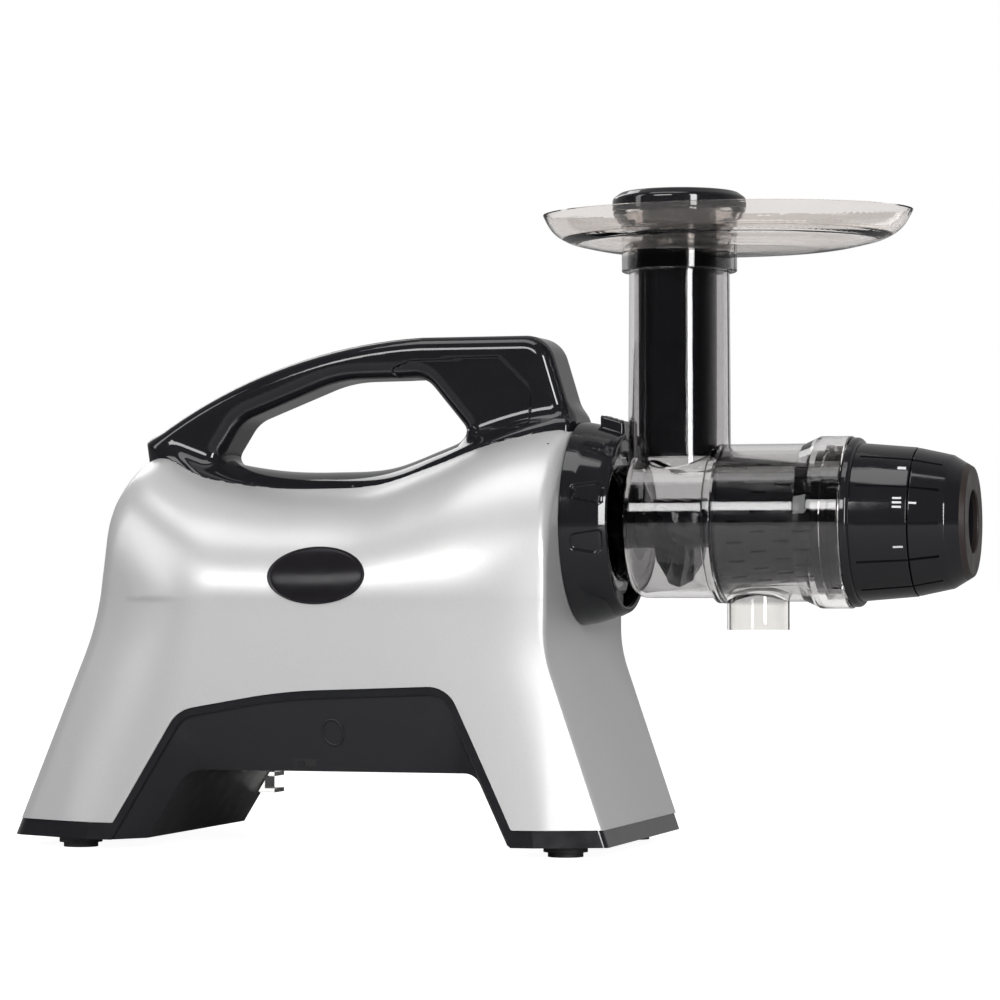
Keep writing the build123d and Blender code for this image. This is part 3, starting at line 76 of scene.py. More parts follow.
# ---------------------------------------------------------------- sizes of the handle
HANDLE_HALF = 18.0
HANDLE_HEEL = (-172.0, 188.9)
HANDLE_ARC_MID = (-94.5, 227.3)
HANDLE_TOP = (-35.0, 237.2)
HANDLE_NOSE = (26.2, 237.2)
HANDLE_NOSE_R = 14.0
HANDLE_TOE = (40.6, 190.0)
HANDLE_FEET = ((38, 160), (-165, 160))      # front and rear corners, hidden in the housing
HANDLE_EDGE_R = 7.0
HANDLE_HOLE_EDGE_R = 8.0
HANDLE_HOLE = ((-118, 150), (-136, 180), (-124, 199), (-76, 217.8), (-33, 218.3), (-12, 193), (-20, 150))
HANDLE_HOLE_RADII = (0, 10, 16, 60, 12, 10, 0)
HANDLE_PANEL = ((-14, 193.4), (19.3, 194.2), (19.3, 213), (5, 227.2), (-38, 226.4), (-50, 222), (-30, 205))
HANDLE_PANEL_RADII = (3, 3, 10, 8, 3, 2, 10)
HANDLE_LAP = 1.2            # how far the handle reaches below the silver surface
HANDLE_REACH, HANDLE_CELL = ((-180, -40, 160), (44, 40, 240)), 1.5
PANEL_DEPTH, PANEL_EDGE = 1.0, 0.9
SADDLE_RISE, SADDLE_HALF, SADDLE_DEPTH = 5.0, 37.0, 25.0
SADDLE_EDGE_R = 3.0
SADDLE_PLAN = ((38.8, 22), (20, 27), (-40, 34), (-136, 33), (-172, 11),
               (-172, -11), (-136, -33), (-40, -34), (20, -27), (38.8, -22))
SADDLE_PLAN_RADII = (2, 60, 60, 24, 8, 8, 24, 60, 60, 2)
SADDLE_BLEND = 6.0

# ---------------------------------------------------------------- sizes of the locking ring
RING_PROFILE = (            # x, radius
    (41.2, 40.3), (49.1, 40.3), (49.1, 41.4), (51.9, 41.4), (51.9, 40.3), (53.0, 40.3), (53.0, 38.7),
    (58.3, 38.7), (58.3, 33.5), (60.3, 33.5), (60.3, 38.8), (61.8, 38.8), (61.8, 41.2), (58.0, 43.0),
    (47.2, 46.3), (41.2, 47.3))
RING_RADII = (0,) * 11 + (0.5, 1.2, 10, 20, 0)
RING_STEP = 0.5
RING_DOME = (41.2, 45.8, 0.3)       # x, radius above which the dome lies there, its fall with x
RING_LIP_X, RING_NOTCH_R = 58.0, 38.6
RING_NOTCHES, RING_NOTCH_ARC = (-45.0, 75.0, 195.0), 46.0
RING_GRIPS = ((-73.0, -1, "pad"), (-101.0, 1, "recess"), (73.0, 1, "pad"), (101.0, -1, "recess"))
GRIP_OUTLINE = ((45.5, -3.5), (60.2, -5.5), (60.2, 7.5), (45.5, 3.5))
GRIP_RADII = (2.5, 2.5, 3.5, 2.5)
GRIP_R = 44.0               # radius on which the grips' outlines are laid out
PAD_GROOVE, PAD_GROOVE_EDGE, PAD_GROOVE_DEPTH = 0.9, 0.7, 1.1
PAD_SINK_FROM, PAD_SINK = 1.5, 0.25
RECESS_EDGE, RECESS_DEPTH = 1.1, 1.3
TAB_X, TAB_HALF, TAB_TOP, TAB_SLOPE = (49.8, 61.2), 7.0, 200.6, 0.30
TAB_FOOT_Z, TAB_CORNER_R, TAB_EDGE_R, TAB_CELL = 190.5, 1.8, 1.2, 0.4
TAB_RIB, TAB_RIB_PITCH, TAB_RIB_FLOOR, TAB_RIM = 0.35, 2.6, -0.4, 1.6
TAB_RIB_ROOM = 0.4          # height kept below the tab's top for the ribs

# ---------------------------------------------------------------- sizes of the badge and the marks
BADGE_AT, BADGE_SIZE = (-64.4, 125.9), (23.3, 13.1)
BADGE_RIM, BADGE_DOME = 0.7, 1.0
BADGE_BEVEL = (             # share of the size, rise above the wall
    (1.0, -0.6), (1.0, 0.3), (0.985, BADGE_RIM), (0.955, BADGE_RIM), (0.94, BADGE_RIM - 0.15))
BADGE_FACE, BADGE_FACE_SINK = 0.92, 0.1
BADGE_FACE_TURN = 1.52      # radians of the dome's arc, just short of its pole
BADGE_STEPS = 96
WALL_GUESS_Y = -78.0        # where the search for the near wall starts
CAP_LINE = ((171.8, 36.0), (197.4, 33.8))
DIAL_LINE = ((197.8, 33.6), (213.5, 30.2))
MARKS = (                   # body, line, x, angle, length, width
    ("cap", CAP_LINE, 194.0, 46.0, 3.7, 1.6), ("cap", CAP_LINE, 193.1, 72.7, 4.0, 0.9),
    ("cap", CAP_LINE, 193.1, 76.1, 4.0, 0.9), ("cap", CAP_LINE, 193.1, 79.5, 4.0, 0.9),
    ("cap", CAP_LINE, 193.5, 109.8, 4.4, 0.9), ("dial", DIAL_LINE, 200.0, 76.1, 3.4, 0.9))
MARK_SINK, MARK_LIFT = -0.4, 0.08
SKIN_DOTS = ((33.1, -35.9, 185.7, 1.0), (31.3, -23.0, 192.7, 0.5))     # x, y, z, radius
DOT_SINK = 0.6              # share of its radius that a dot is moved into the skin
BELLY_SLANT = ((-64.0, 36.6), (-78.0, 69.5))    # (y, z) of the slanted near side of the belly
BELLY_RING = (-58.1, 54.8, 4.8, 6.4)            # x, z, half length, half height
BELLY_RING_TUBE, BELLY_RING_STEPS = (0.5, 0.45), (64, 10)
BELLY_PLATES = (            # finish, x, z, length, height, thickness
    ("rubber", -73.3, 40.5, 10.4, 4.2, 0.12), ("matte", -75.4, 40.3, 3.0, 2.0, 0.5),
    ("rubber", -50.3, 38.2, 13.5, 0.5, 0.12))
PLATE_SINK = -0.5
SHARP, SHARP_ROUND = 35.0, 60.0     # degrees of bend from which an edge is crisp
BOX_CORNERS = ((-1, -1), (1, -1), (1, 1), (-1, 1))
BOX_FACES = ((0, 1, 2, 3), (4, 5, 6, 7), (0, 1, 5, 4), (1, 2, 6, 5), (2, 3, 7, 6), (3, 0, 4, 7))

# ---------------------------------------------------------------- the studio, in metres and degrees
CAMERA_AZIMUTH = 16.5
CAMERA_PITCH = 1.285
CAMERA_AT = (0.491, -1.659, 0.1224)
CAMERA_LENS, CAMERA_SENSOR = 133.2, 36.0
LAMP_TARGET = (0, 0, 0.13)
LAMPS = (                   # name, azimuth, elevation, distance, size, watts
    ("key", -13, 24, 2.0, (1.05, 0.4), 14), ("facet", 40, 14, 2.0, (0.35, 1.1), 22),
    ("fill", -60, 25, 2.2, (0.4, 1.2), 6), ("top", -20, 74, 1.7, (1.2, 0.7), 8),
    ("rim", -140, 34, 2.2, (0.6, 1.2), 6))
WORLD_DIFFUSE = (0.44, 0.36, (-0.6, 0.8))       # strength at low and high X, and those X
WORLD_GLOSSY = (0.04, 0.42, (-0.1, 0.7))        # the same along Y
WORLD_CLEAR = (0.04, 1.0, (0.1, 0.6))           # along Y, for rays through clear parts
FLOOR_R, FLOOR_STEPS = 60000.0, 96              # the radius is in millimetres
FLOOR_GREY, FLOOR_LIFT = (0.34, 0.34, 0.34), 0.95


# ================================================================ outlines
def rounded(points, radii, steps=8):
    """Outline through points, with each corner rounded by an arc of its own radius."""
    outline = []
    count = len(points)
    for i, radius in enumerate(radii):
        corner = np.array(points[i], float)
        before = np.array(points[i - 1], float) - corner
        after = np.array(points[(i + 1) % count], float) - corner
        if radius <= 0:
            outline.append(corner)
            continue
        before /= np.linalg.norm(before)
        after /= np.linalg.norm(after)
        half = math.acos(np.clip(before @ after, -1, 1)) / 2
        middle = (before + after) / np.linalg.norm(before + after)
        centre = corner + middle * radius / math.sin(half)
        start = corner + before * radius / math.tan(half) - centre
        end = corner + after * radius / math.tan(half) - centre
        turn = math.atan2(start[0] * end[1] - start[1] * end[0], start @ end)
        for step in range(steps + 1):
            a = turn * step / steps
            outline.append(centre + np.array([start[0] * math.cos(a) - start[1] * math.sin(a),
                                              start[0] * math.sin(a) + start[1] * math.cos(a)]))
    return np.array(outline)


def arc_through(a, b, c, steps=20):
    """Points of the circular arc from a through b to c."""
    (ax, ay), (bx, by), (cx, cy) = a, b, c
    d = 2 * (ax * (by - cy) + bx * (cy - ay) + cx * (ay - by))
    ux = ((ax**2 + ay**2) * (by - cy) + (bx**2 + by**2) * (cy - ay) + (cx**2 + cy**2) * (ay - by)) / d
    uy = ((ax**2 + ay**2) * (cx - bx) + (bx**2 + by**2) * (ax - cx) + (cx**2 + cy**2) * (bx - ax)) / d
    radius = math.hypot(ax - ux, ay - uy)
    start = math.atan2(ay - uy, ax - ux)
    turn = (math.atan2(cy - uy, cx - ux) - start + math.pi) % (2 * math.pi) - math.pi
    return [(ux + radius * math.cos(start + turn * i / steps),
             uy + radius * math.sin(start + turn * i / steps)) for i in range(steps + 1)]


def outline_distance(u, v, outline):
    """Distance to a closed outline, negative inside it."""
    nearest = np.full(u.shape, 1e9)
    inside = np.zeros(u.shape, bool)
    for (ax, ay), (bx, by) in zip(outline, np.roll(outline, -1, axis=0)):
        dx, dy = bx - ax, by - ay
        length = dx * dx + dy * dy
        if length < 1e-12:
            continue
        t = np.clip(((u - ax) * dx + (v - ay) * dy) / length, 0, 1)
        nearest = np.minimum(nearest, (u - ax - t * dx)**2 + (v - ay - t * dy)**2)
        crosses = (ay > v) != (by > v)
        if dy:
            inside ^= crosses & (u < ax + (v - ay) * dx / dy)
    return np.where(inside, -1.0, 1.0) * np.sqrt(nearest)


# ================================================================ fields
def smoothstep(t):
    """Eased passage from 0 to 1."""
    return t * t * (3 - 2 * t)


def smooth_max(a, b, k):
    """The larger of two fields, with the edge between them rounded off over k."""
    h = np.maximum(k - np.abs(a - b), 0.0) / k
    return np.maximum(a, b) + h * h * k / 4


def smooth_min(a, b, k):
    """The smaller of two fields, with a fillet of size k between them."""
    return -smooth_max(-a, -b, k)


def round_max(a, b, radius):
    """The larger of two fields, with an arc of this radius on a square edge between them."""
    corner = np.hypot(np.maximum(a + radius, 0), np.maximum(b + radius, 0))
    return np.minimum(np.maximum(a, b), -radius) + corner


def through(x, column):
    """Smooth curve through one column of the vault's stations."""
    xs, ys = VAULT[:, 0], VAULT[:, column]
    slopes = np.gradient(ys, xs)
    i = np.clip(np.searchsorted(xs, x) - 1, 0, len(xs) - 2)
    width = xs[i + 1] - xs[i]
    t = np.clip((x - xs[i]) / width, 0, 1)
    return (ys[i] * (1 + 2 * t) * (1 - t)**2 + slopes[i] * width * t * (1 - t)**2
            + ys[i + 1] * t * t * (3 - 2 * t) + slopes[i + 1] * width * t * t * (t - 1))


def ellipse_distance(u, v, a, b):
    """Near distance to an ellipse round the origin."""
    value = (u / a)**2 + (v / b)**2 - 1
    slope = 2 * np.sqrt((u / a**2)**2 + (v / b**2)**2)
    return value / np.maximum(slope, 1.0 / np.maximum(a, b))


def wall_x(z, line, bend):
    """x of an end wall at height z: two straight stretches with a bend between them."""
    (x0, z0), (x1, z1), (x2, z2) = line
    upper = (x0 - x1) / (z0 - z1)
    lower = (x1 - x2) / (z1 - z2)
    reach = bend * abs(math.atan(upper) - math.atan(lower)) / 2
    t = z - z1
    curve = (upper + lower) / 2 * t + (upper - lower) / (4 * reach) * (t * t + reach * reach)
    return x1 + np.where(t > reach, upper * t, np.where(t < -reach, lower * t, curve))


def end_wall(p, line, bend, half, facet, edge):
    """Field of one end wall together with the facets on either side of it."""
    x, y, z = p[..., 0], p[..., 1], p[..., 2]
    sign = 1.0 if line[0][0] > 0 else -1.0
    run, rise = facet
    out = sign * (x - wall_x(z, line, bend))
    aside = (out + (np.abs(y) - half) * run / rise) * rise / math.hypot(run, rise)
    return smooth_max(out, aside, edge)


def base_unit(p):
    """Field of the whole base unit: drafted side walls, an elliptic vault and the end walls."""
    x, y, z = p[..., 0], p[..., 1], p[..., 2]
    half = through(x, 1)
    rise = through(x, 2) - SPRING_Z
    crown = ellipse_distance(y, np.maximum(z - SPRING_Z, 0.0), half, rise)
    lean = (HALF_WIDTH - half) / (SPRING_Z - LEAN_FOOT_Z - LEAN_SOFT)
    drop = np.maximum(SPRING_Z - z, 0.0)
    wall = np.abs(y) - half - lean * drop * drop / (drop + LEAN_SOFT)
    body = np.where(z > SPRING_Z, crown, wall)
    up = np.clip((z - SPRING_Z) / CROWN_RISE, 0, 1)
    front = end_wall(p, FRONT_LINE, FRONT_BEND, FRONT_HALF, FRONT_FACET, EDGE_BLEND["front"])
    rear = end_wall(p, REAR_LINE, REAR_BEND, REAR_HALF, REAR_FACET, EDGE_BLEND["rear"])
    front_k = EDGE_BLEND["side"] + (EDGE_BLEND["crown"] - EDGE_BLEND["side"]) * up
    rear_k = EDGE_BLEND["rear"] + (EDGE_BLEND["rear_crown"] - EDGE_BLEND["rear"]) * up
    return smooth_max(smooth_max(body, front, front_k), rear, rear_k)


def gradient(field, p, step=0.05):
    """A field's slope at points, from differences this step to either side."""
    return np.stack([(field(p + s) - field(p - s)) / (2 * step) for s in np.eye(3) * step], axis=-1)


def settle(field, p, rounds=3, reach=1.5):
    """Moves points onto a field's zero surface, reach millimetres at most in each round."""
    for _ in range(rounds):
        g = gradient(field, p)
        move = field(p)[:, None] * g / np.maximum((g * g).sum(-1), 1e-6)[:, None]
        p = p - np.clip(move, -reach, reach)
    return p


def polygonise(field, low, high, cell):
    """Quad mesh of a field's zero surface: surface nets, then settled onto it."""
    axes = [np.arange(a, b + cell, cell) for a, b in zip(low, high)]
    grid = np.stack(np.meshgrid(*axes, indexing="ij"), axis=-1)
    values = field(grid)
    inside = values < 0
    size = np.array(values.shape) - 1

    def corner(o):
        return values[o[0]:o[0] + size[0], o[1]:o[1] + size[1], o[2]:o[2] + size[2]]

    offsets = [(i, j, k) for i in (0, 1) for j in (0, 1) for k in (0, 1)]
    count = sum((corner(o) < 0).astype(int) for o in offsets)
    active = (count > 0) & (count < 8)
    cells = np.argwhere(active)
    index = np.full(size, -1)
    index[active] = np.arange(len(cells))
    total = np.zeros((len(cells), 3))
    hits = np.zeros(len(cells))
    for start in offsets:
        for axis in range(3):
            if start[axis]:
                continue
            end = tuple(1 if i == axis else s for i, s in enumerate(start))
            a, b = corner(start)[active], corner(end)[active]
            crosses = (a < 0) != (b < 0)
            point = np.tile(np.array(start, float), (len(cells), 1))
            point[:, axis] = np.where(crosses, a / np.where(crosses, a - b, 1), 0)
            total += point * crosses[:, None]
            hits += crosses
    points = (cells + total / hits[:, None]) * cell + np.array(low)
    faces = []
    for axis in range(3):
        u, v = (axis + 1) % 3, (axis + 2) % 3
        first = np.take(inside, range(size[axis]), axis)
        second = np.take(inside, range(1, size[axis] + 1), axis)
        n = np.argwhere(first != second)
        n = n[(n[:, u] > 0) & (n[:, u] < size[u]) & (n[:, v] > 0) & (n[:, v] < size[v])]
        su, sv = np.eye(3, dtype=int)[u], np.eye(3, dtype=int)[v]
        quads = np.stack([index[tuple((n + d).T)] for d in (-su - sv, -sv, 0 * su, -su)], axis=1)
        flip = ~first[tuple(n.T)]
        quads[flip] = quads[flip][:, ::-1]
        faces.append(quads)
    return settle(field, points), np.concatenate(faces)


def clip(points, faces, cut, field, snap=0.35):
    """The part of a mesh where cut is negative, with a clean border where it is zero."""
    if faces.shape[1] == 4:
        faces = np.concatenate([faces[:, (0, 1, 2)], faces[:, (0, 2, 3)]])

    def to_border(p):
        for _ in range(4):
            p = settle(cut, p, 1)
            p = settle(field, p, 1)
        return p

    value = cut(points)
    near = np.abs(value) < snap
    points = points.copy()
    points[near] = to_border(points[near])
    value[near] = 0.0
    sides = np.sign(value[faces])
    whole = faces[(sides.max(1) <= 0) & (sides.min(1) < 0)]
    mixed = faces[(sides.max(1) > 0) & (sides.min(1) < 0)]
    made, fresh, triangles = {}, [], []

    def between(i, j):
        key = (min(i, j), max(i, j))
        if key not in made:
            made[key] = len(points) + len(fresh)
            t = value[i] / (value[i] - value[j])
            fresh.append(points[i] + t * (points[j] - points[i]))
        return made[key]

    for face in mixed.tolist():
        kept = []
        for i, j in zip(face, face[1:] + face[:1]):
            if value[i] <= 0:
                kept.append(i)
            if value[i] * value[j] < 0:
                kept.append(between(i, j))
        triangles += [(kept[0], kept[k], kept[k + 1]) for k in range(1, len(kept) - 1)]
    if fresh:
        points = np.concatenate([points, to_border(np.array(fresh))])
    if triangles:
        whole = np.concatenate([whole, np.array(triangles)])
    used, whole = np.unique(whole, return_inverse=True)
    return points[used], whole.reshape(-1, 3)


# ================================================================ meshes
def make_object(name, points, faces, normals=None):
    """Smooth mesh object from points in millimetres; normals are one for each face corner."""
    mesh = bpy.data.meshes.new(name)
    corners = faces.tolist() if isinstance(faces, np.ndarray) else list(faces)
    mesh.from_pydata((np.asarray(points) * MM).tolist(), [], corners)
    mesh.polygons.foreach_set("use_smooth", [True] * len(mesh.polygons))
    if normals is not None:
        mesh.normals_split_custom_set(normals)
    obj = bpy.data.objects.new(name, mesh)
    bpy.context.scene.collection.objects.link(obj)
    return obj


def closed_object(name, points, faces, sharp=SHARP):
    """Closed mesh with outward faces, crisp where it bends by more than sharp degrees."""
    obj = make_object(name, points, faces)
    made = bmesh.new()
    made.from_mesh(obj.data)
    bmesh.ops.recalc_face_normals(made, faces=made.faces)
    for edge in made.edges:
        edge.smooth = edge.calc_face_angle(0.0) < math.radians(sharp)
    made.to_mesh(obj.data)
    made.free()
    return obj


def dense(outline, step):
    """The same closed outline with no stretch longer than step."""
    made = []
    for a, b in zip(outline, np.roll(outline, -1, axis=0)):
        count = max(1, math.ceil(np.linalg.norm(b - a) / step))
        made += [a + (b - a) * i / count for i in range(count)]
    return np.array(made)


def on_axis(x, radius, angle):
    """Points about the drum axis; angle 0 is up and 90 the near side."""
    a = np.radians(angle)
    return np.stack([x, -radius * np.sin(a), AXIS_Z + radius * np.cos(a)], axis=-1)


def turn_from(centre, angle):
    """Degrees from one angle to another, the short way round."""
    return (angle - centre + 180) % 360 - 180


def wrapped_quads(rows, columns):
    """Faces of a grid of points whose rows and columns both close on themselves."""
    i, j = np.meshgrid(np.arange(rows), np.arange(columns), indexing="ij")
    down, right = (i + 1) % rows * columns, (j + 1) % columns
    return np.stack([i * columns + j, down + j, down + right, i * columns + right], axis=-1).reshape(-1, 4)


def turned_object(name, outline, relief, steps=720):
    """Closed mesh of an (x, radius) outline turned about the drum axis, with relief in its radius."""
    angle, x = np.meshgrid(np.arange(steps) * 360.0 / steps, outline[:, 0], indexing="ij")
    radius = relief(x, np.broadcast_to(outline[:, 1], x.shape), angle)
    return closed_object(name, on_axis(x, radius, angle).reshape(-1, 3), wrapped_quads(*x.shape))


def unit(vectors):
    """Vectors of length one."""
    return vectors / np.maximum(np.linalg.norm(vectors, axis=-1, keepdims=True), 1e-9)


def surface_object(name, field, points, faces):
    """Object of a field's surface, shaded with the field's own normals."""
    normals = unit(gradient(field, points))
    return make_object(name, points, faces, normals[np.asarray(faces).ravel()])


def shell_object(name, field, points, faces, wall):
    """Closed shell: an open surface, the same one wall deeper, and the rim between them."""
    normals = unit(gradient(field, points))
    count = len(points)
    edges = {}
    for a, b, c in faces.tolist():
        for i, j in ((a, b), (b, c), (c, a)):
            edges[(i, j)] = edges.get((i, j), 0) + 1
    border = [(i, j) for i, j in edges if (j, i) not in edges]
    rim = np.array([(j, i, i + count) for i, j in border] + [(j, i + count, j + count) for i, j in border])
    everything = np.concatenate([points, points - normals * wall])
    rim_normals = unit(np.cross(everything[rim[:, 1]] - everything[rim[:, 0]],
                                everything[rim[:, 2]] - everything[rim[:, 0]]))
    inner = faces[:, ::-1] + count
    both = np.concatenate([normals, -normals])
    corners = np.concatenate([both[faces.ravel()], both[inner.ravel()], np.repeat(rim_normals, 3, axis=0)])
    return make_object(name, everything, np.concatenate([faces, inner, rim]), corners)


# ================================================================ materials
def new_material(name):
    """Empty material with its node tree and shader."""
    made = bpy.data.materials.new(name)
    made.use_nodes = True
    tree = made.node_tree
    return made, tree, tree.nodes["Principled BSDF"]


def noise(tree, size, detail=3.0, stretch=(1, 1, 1)):
    """Noise over the object with features of this size in millimetres."""
    coords = tree.nodes.new("ShaderNodeTexCoord")
    scale = tree.nodes.new("ShaderNodeMapping")
    scale.inputs["Scale"].default_value = stretch
    texture = tree.nodes.new("ShaderNodeTexNoise")
    texture.inputs["Scale"].default_value = 1.0 / (size * MM)
    texture.inputs["Detail"].default_value = detail
    tree.links.new(coords.outputs["Object"], scale.inputs["Vector"])
    tree.links.new(scale.outputs["Vector"], texture.inputs["Vector"])
    return texture


def ramp(tree, source, low, high, at=(0.3, 0.7)):
    """Maps a texture's value to a range."""
    span = tree.nodes.new("ShaderNodeMapRange")
    span.inputs["From Min"].default_value, span.inputs["From Max"].default_value = at
    span.inputs["To Min"].default_value, span.inputs["To Max"].default_value = low, high
    tree.links.new(source, span.inputs["Value"])
    return span.outputs["Result"]


def combine(tree, operation, first, second):
    """Maths on a socket and either another socket or a number."""
    node = tree.nodes.new("ShaderNodeMath")
    node.operation = operation
    tree.links.new(first, node.inputs[0])
    if isinstance(second, float):
        node.inputs[1].default_value = second
    else:
        tree.links.new(second, node.inputs[1])
    return node.outputs["Value"]


def mottle(tree, shader, color, amount, size):
    """Base colour with a slight variation of its brightness."""
    mix = tree.nodes.new("ShaderNodeMix")
    mix.data_type = "RGBA"
    mix.inputs["A"].default_value = (*[c * (1 - amount) for c in color], 1)
    mix.inputs["B"].default_value = (*[min(1.0, c * (1 + amount)) for c in color], 1)
    tree.links.new(ramp(tree, noise(tree, size).outputs["Fac"], 0, 1), mix.inputs["Factor"])
    tree.links.new(mix.outputs["Result"], shader.inputs["Base Color"])


def bump(tree, shader, height, size, detail=2.0, stretch=(1, 1, 1)):
    """Fine relief of this height in millimetres."""
    node = tree.nodes.new("ShaderNodeBump")
    node.inputs["Distance"].default_value = height * MM
    node.inputs["Strength"].default_value = 1.0
    tree.links.new(noise(tree, size, detail, stretch).outputs["Fac"], node.inputs["Height"])
    tree.links.new(node.outputs["Normal"], shader.inputs["Normal"])


def plastic(name, color, rough=(0.06, 0.12), relief=0.0, grain=1.0, spread=0.06, shine=0.5):
    """Moulded plastic: a little cloudy in colour and gloss, with an optional fine grain."""
    made, tree, shader = new_material(name)
    mottle(tree, shader, color, spread, 22.0)
    tree.links.new(ramp(tree, noise(tree, 9.0).outputs["Fac"], *rough), shader.inputs["Roughness"])
    shader.inputs["IOR"].default_value = 1.5
    shader.inputs["Specular IOR Level"].default_value = shine
    if relief:
        bump(tree, shader, relief, grain)
    return made


def metal(name, color, rough, relief=0.02, grain=0.6, stretch=(1, 1, 1)):
    """Bare metal with a fine grain, which stretch can draw out into brushing or laminations."""
    made, tree, shader = new_material(name)
    mottle(tree, shader, color, 0.05, 6.0)
    shader.inputs["Metallic"].default_value = 1.0
    tree.links.new(ramp(tree, noise(tree, 2.0, 3.0, stretch).outputs["Fac"], rough * 0.8, rough * 1.2),
                   shader.inputs["Roughness"])
    bump(tree, shader, relief, grain, 2.0, stretch)
    return made


def silver_paint():
    """Silver lacquer: metal flake under a satin clear coat."""
    made, tree, shader = new_material("silver_paint")
    mottle(tree, shader, (0.585, 0.583, 0.585), 0.03, 0.5)
    shader.inputs["Metallic"].default_value = 0.45
    shader.inputs["Coat Weight"].default_value = 0.2
    shader.inputs["Coat Roughness"].default_value = 0.16
    tree.links.new(ramp(tree, noise(tree, 0.7).outputs["Fac"], 0.34, 0.42), shader.inputs["Roughness"])
    bump(tree, shader, 0.004, 0.45)
    return made


def clear_plastic(name, tint, low_tint=None, low_below=0.0, rough=0.008):
    """Smoke-tinted clear plastic with faint flow waves; another tint below a height in millimetres."""
    made, tree, shader = new_material(name)
    mottle(tree, shader, tint, 0.02, 30.0)
    if low_tint:
        place = tree.nodes.new("ShaderNodeNewGeometry")
        split = tree.nodes.new("ShaderNodeSeparateXYZ")
        tree.links.new(place.outputs["Position"], split.inputs["Vector"])
        mix = tree.nodes.new("ShaderNodeMix")
        mix.data_type = "RGBA"
        mix.inputs["A"].default_value = (*low_tint, 1)
        tree.links.new(shader.inputs["Base Color"].links[0].from_socket, mix.inputs["B"])
        band = ((low_below - 1) * MM, (low_below + 1) * MM)
        tree.links.new(ramp(tree, split.outputs["Z"], 0, 1, band), mix.inputs["Factor"])
        tree.links.new(mix.outputs["Result"], shader.inputs["Base Color"])
    shader.inputs["Transmission Weight"].default_value = 1.0
    shader.inputs["IOR"].default_value = 1.47
    tree.links.new(ramp(tree, noise(tree, 12.0).outputs["Fac"], rough * 0.6, rough * 1.6),
                   shader.inputs["Roughness"])
    bump(tree, shader, 0.006, 18.0)
    return made


def make_materials():
    """Every finish by name; the colours are linear."""
    return {
        "silver": silver_paint(),
        "gloss": plastic("gloss_black", (0.011, 0.011, 0.013), (0.05, 0.10), spread=0.1),
        "gloss_soft": plastic("gloss_black_soft", (0.014, 0.014, 0.016), (0.12, 0.2), 0.008, 0.8),
        "badge": plastic("badge_black", (0.011, 0.010, 0.012), (0.16, 0.24), shine=0.12),
        "matte": plastic("matte_charcoal", (0.014, 0.013, 0.016), (0.46, 0.56), 0.03, 0.55),
        "rubber": plastic("rubber_black", (0.02, 0.02, 0.021), (0.6, 0.75), 0.03, 0.8),
        "seal": plastic("silicone_dark", (0.09, 0.09, 0.095), (0.35, 0.5), 0.01, 1.2),
        "auger": plastic("auger_black", (0.012, 0.013, 0.019), (0.07, 0.14)),
        "screen": plastic("screen_dark", (0.02, 0.02, 0.024), (0.16, 0.24), 0.01, 1.0),
        "nozzle": plastic("nozzle_brown", (0.026, 0.019, 0.017), (0.34, 0.46), 0.02, 0.5),
        "pusher": plastic("pusher_black", (0.011, 0.011, 0.014), (0.10, 0.18)),
        "white": plastic("nylon_white", (0.72, 0.70, 0.63), (0.35, 0.45), 0.01, 1.0),
        "grey": plastic("can_grey", (0.45, 0.45, 0.44), (0.4, 0.5), 0.01, 1.0),
        "smoke": clear_plastic("smoke_clear", (0.64, 0.63, 0.63), (0.86, 0.85, 0.83), 113.0),
        "smoke_light": clear_plastic("smoke_clear_light", (0.76, 0.73, 0.71), (0.3, 0.3, 0.3), 273.4),
        "ink": plastic("ink_pale", (0.62, 0.62, 0.63), (0.4, 0.5)),
        "clip": clear_plastic("clip_clear", (0.9, 0.89, 0.87), rough=0.06),
        "steel": metal("steel_plain", (0.55, 0.55, 0.56), 0.28, stretch=(0.2, 1, 1)),
        "bronze": metal("bronze_sintered", (0.55, 0.36, 0.18), 0.5, 0.04, 0.5),
        "laminate": metal("core_laminate", (0.2, 0.2, 0.21), 0.5, 0.05, 0.6, (4, 0.3, 0.3)),
        "copper": metal("copper_enamel", (0.62, 0.26, 0.11), 0.3, 0.08, 0.7),
        "alloy": metal("alloy_cast", (0.6, 0.6, 0.62), 0.45, 0.06, 0.8),
    }


NODE_FINISH = {
    "base_tray": "gloss_soft", "underbody": "matte", "badge": "gloss", "feet": "rubber",
    "foot_screws": "steel", "socket": "matte", "locking_ring": "gloss", "ring_tab": "gloss",
    "drum": "smoke", "screen": "screen", "drum_seal": "seal", "auger": "auger", "drive_spindle": "steel", "output_gear": "white",
    "idler_gear": "white", "idler_pinion": "steel", "idler_axle": "steel", "motor_pinion": "steel",
    "gear_case": "matte", "gear_cover": "matte", "cover_screws": "steel", "rear_bush": "bronze",
    "front_bush": "bronze", "motor_stator": "laminate", "motor_windings": "copper",
    "motor_rotor": "laminate", "motor_shaft": "steel", "motor_rear_shield": "alloy",
    "motor_front_shield": "alloy", "motor_bushes": "bronze", "cooling_fan": "matte",
    "motor_cradle": "matte", "switch_body": "gloss_soft", "switch_rocker": "gloss", "mains_inlet": "matte",
    "capacitor": "grey", "terminal_block": "white", "cable_clip": "clip", "end_cap": "gloss",
    "cap_seal": "seal", "adjusting_dial": "gloss", "nozzle_ring": "nozzle", "feed_tray": "smoke_light",
    "pusher_tube": "pusher", "pusher_cap": "gloss", "housing_shell": "silver", "handle": "gloss"}


def dress_nodes(finish):
    """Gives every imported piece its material, and smooth shading between its crisp edges."""
    for name, obj in nodes.items():
        obj.data.materials.clear()
        obj.data.materials.append(finish[NODE_FINISH[name]])
        obj.data.polygons.foreach_set("use_smooth", [True] * len(obj.data.polygons))


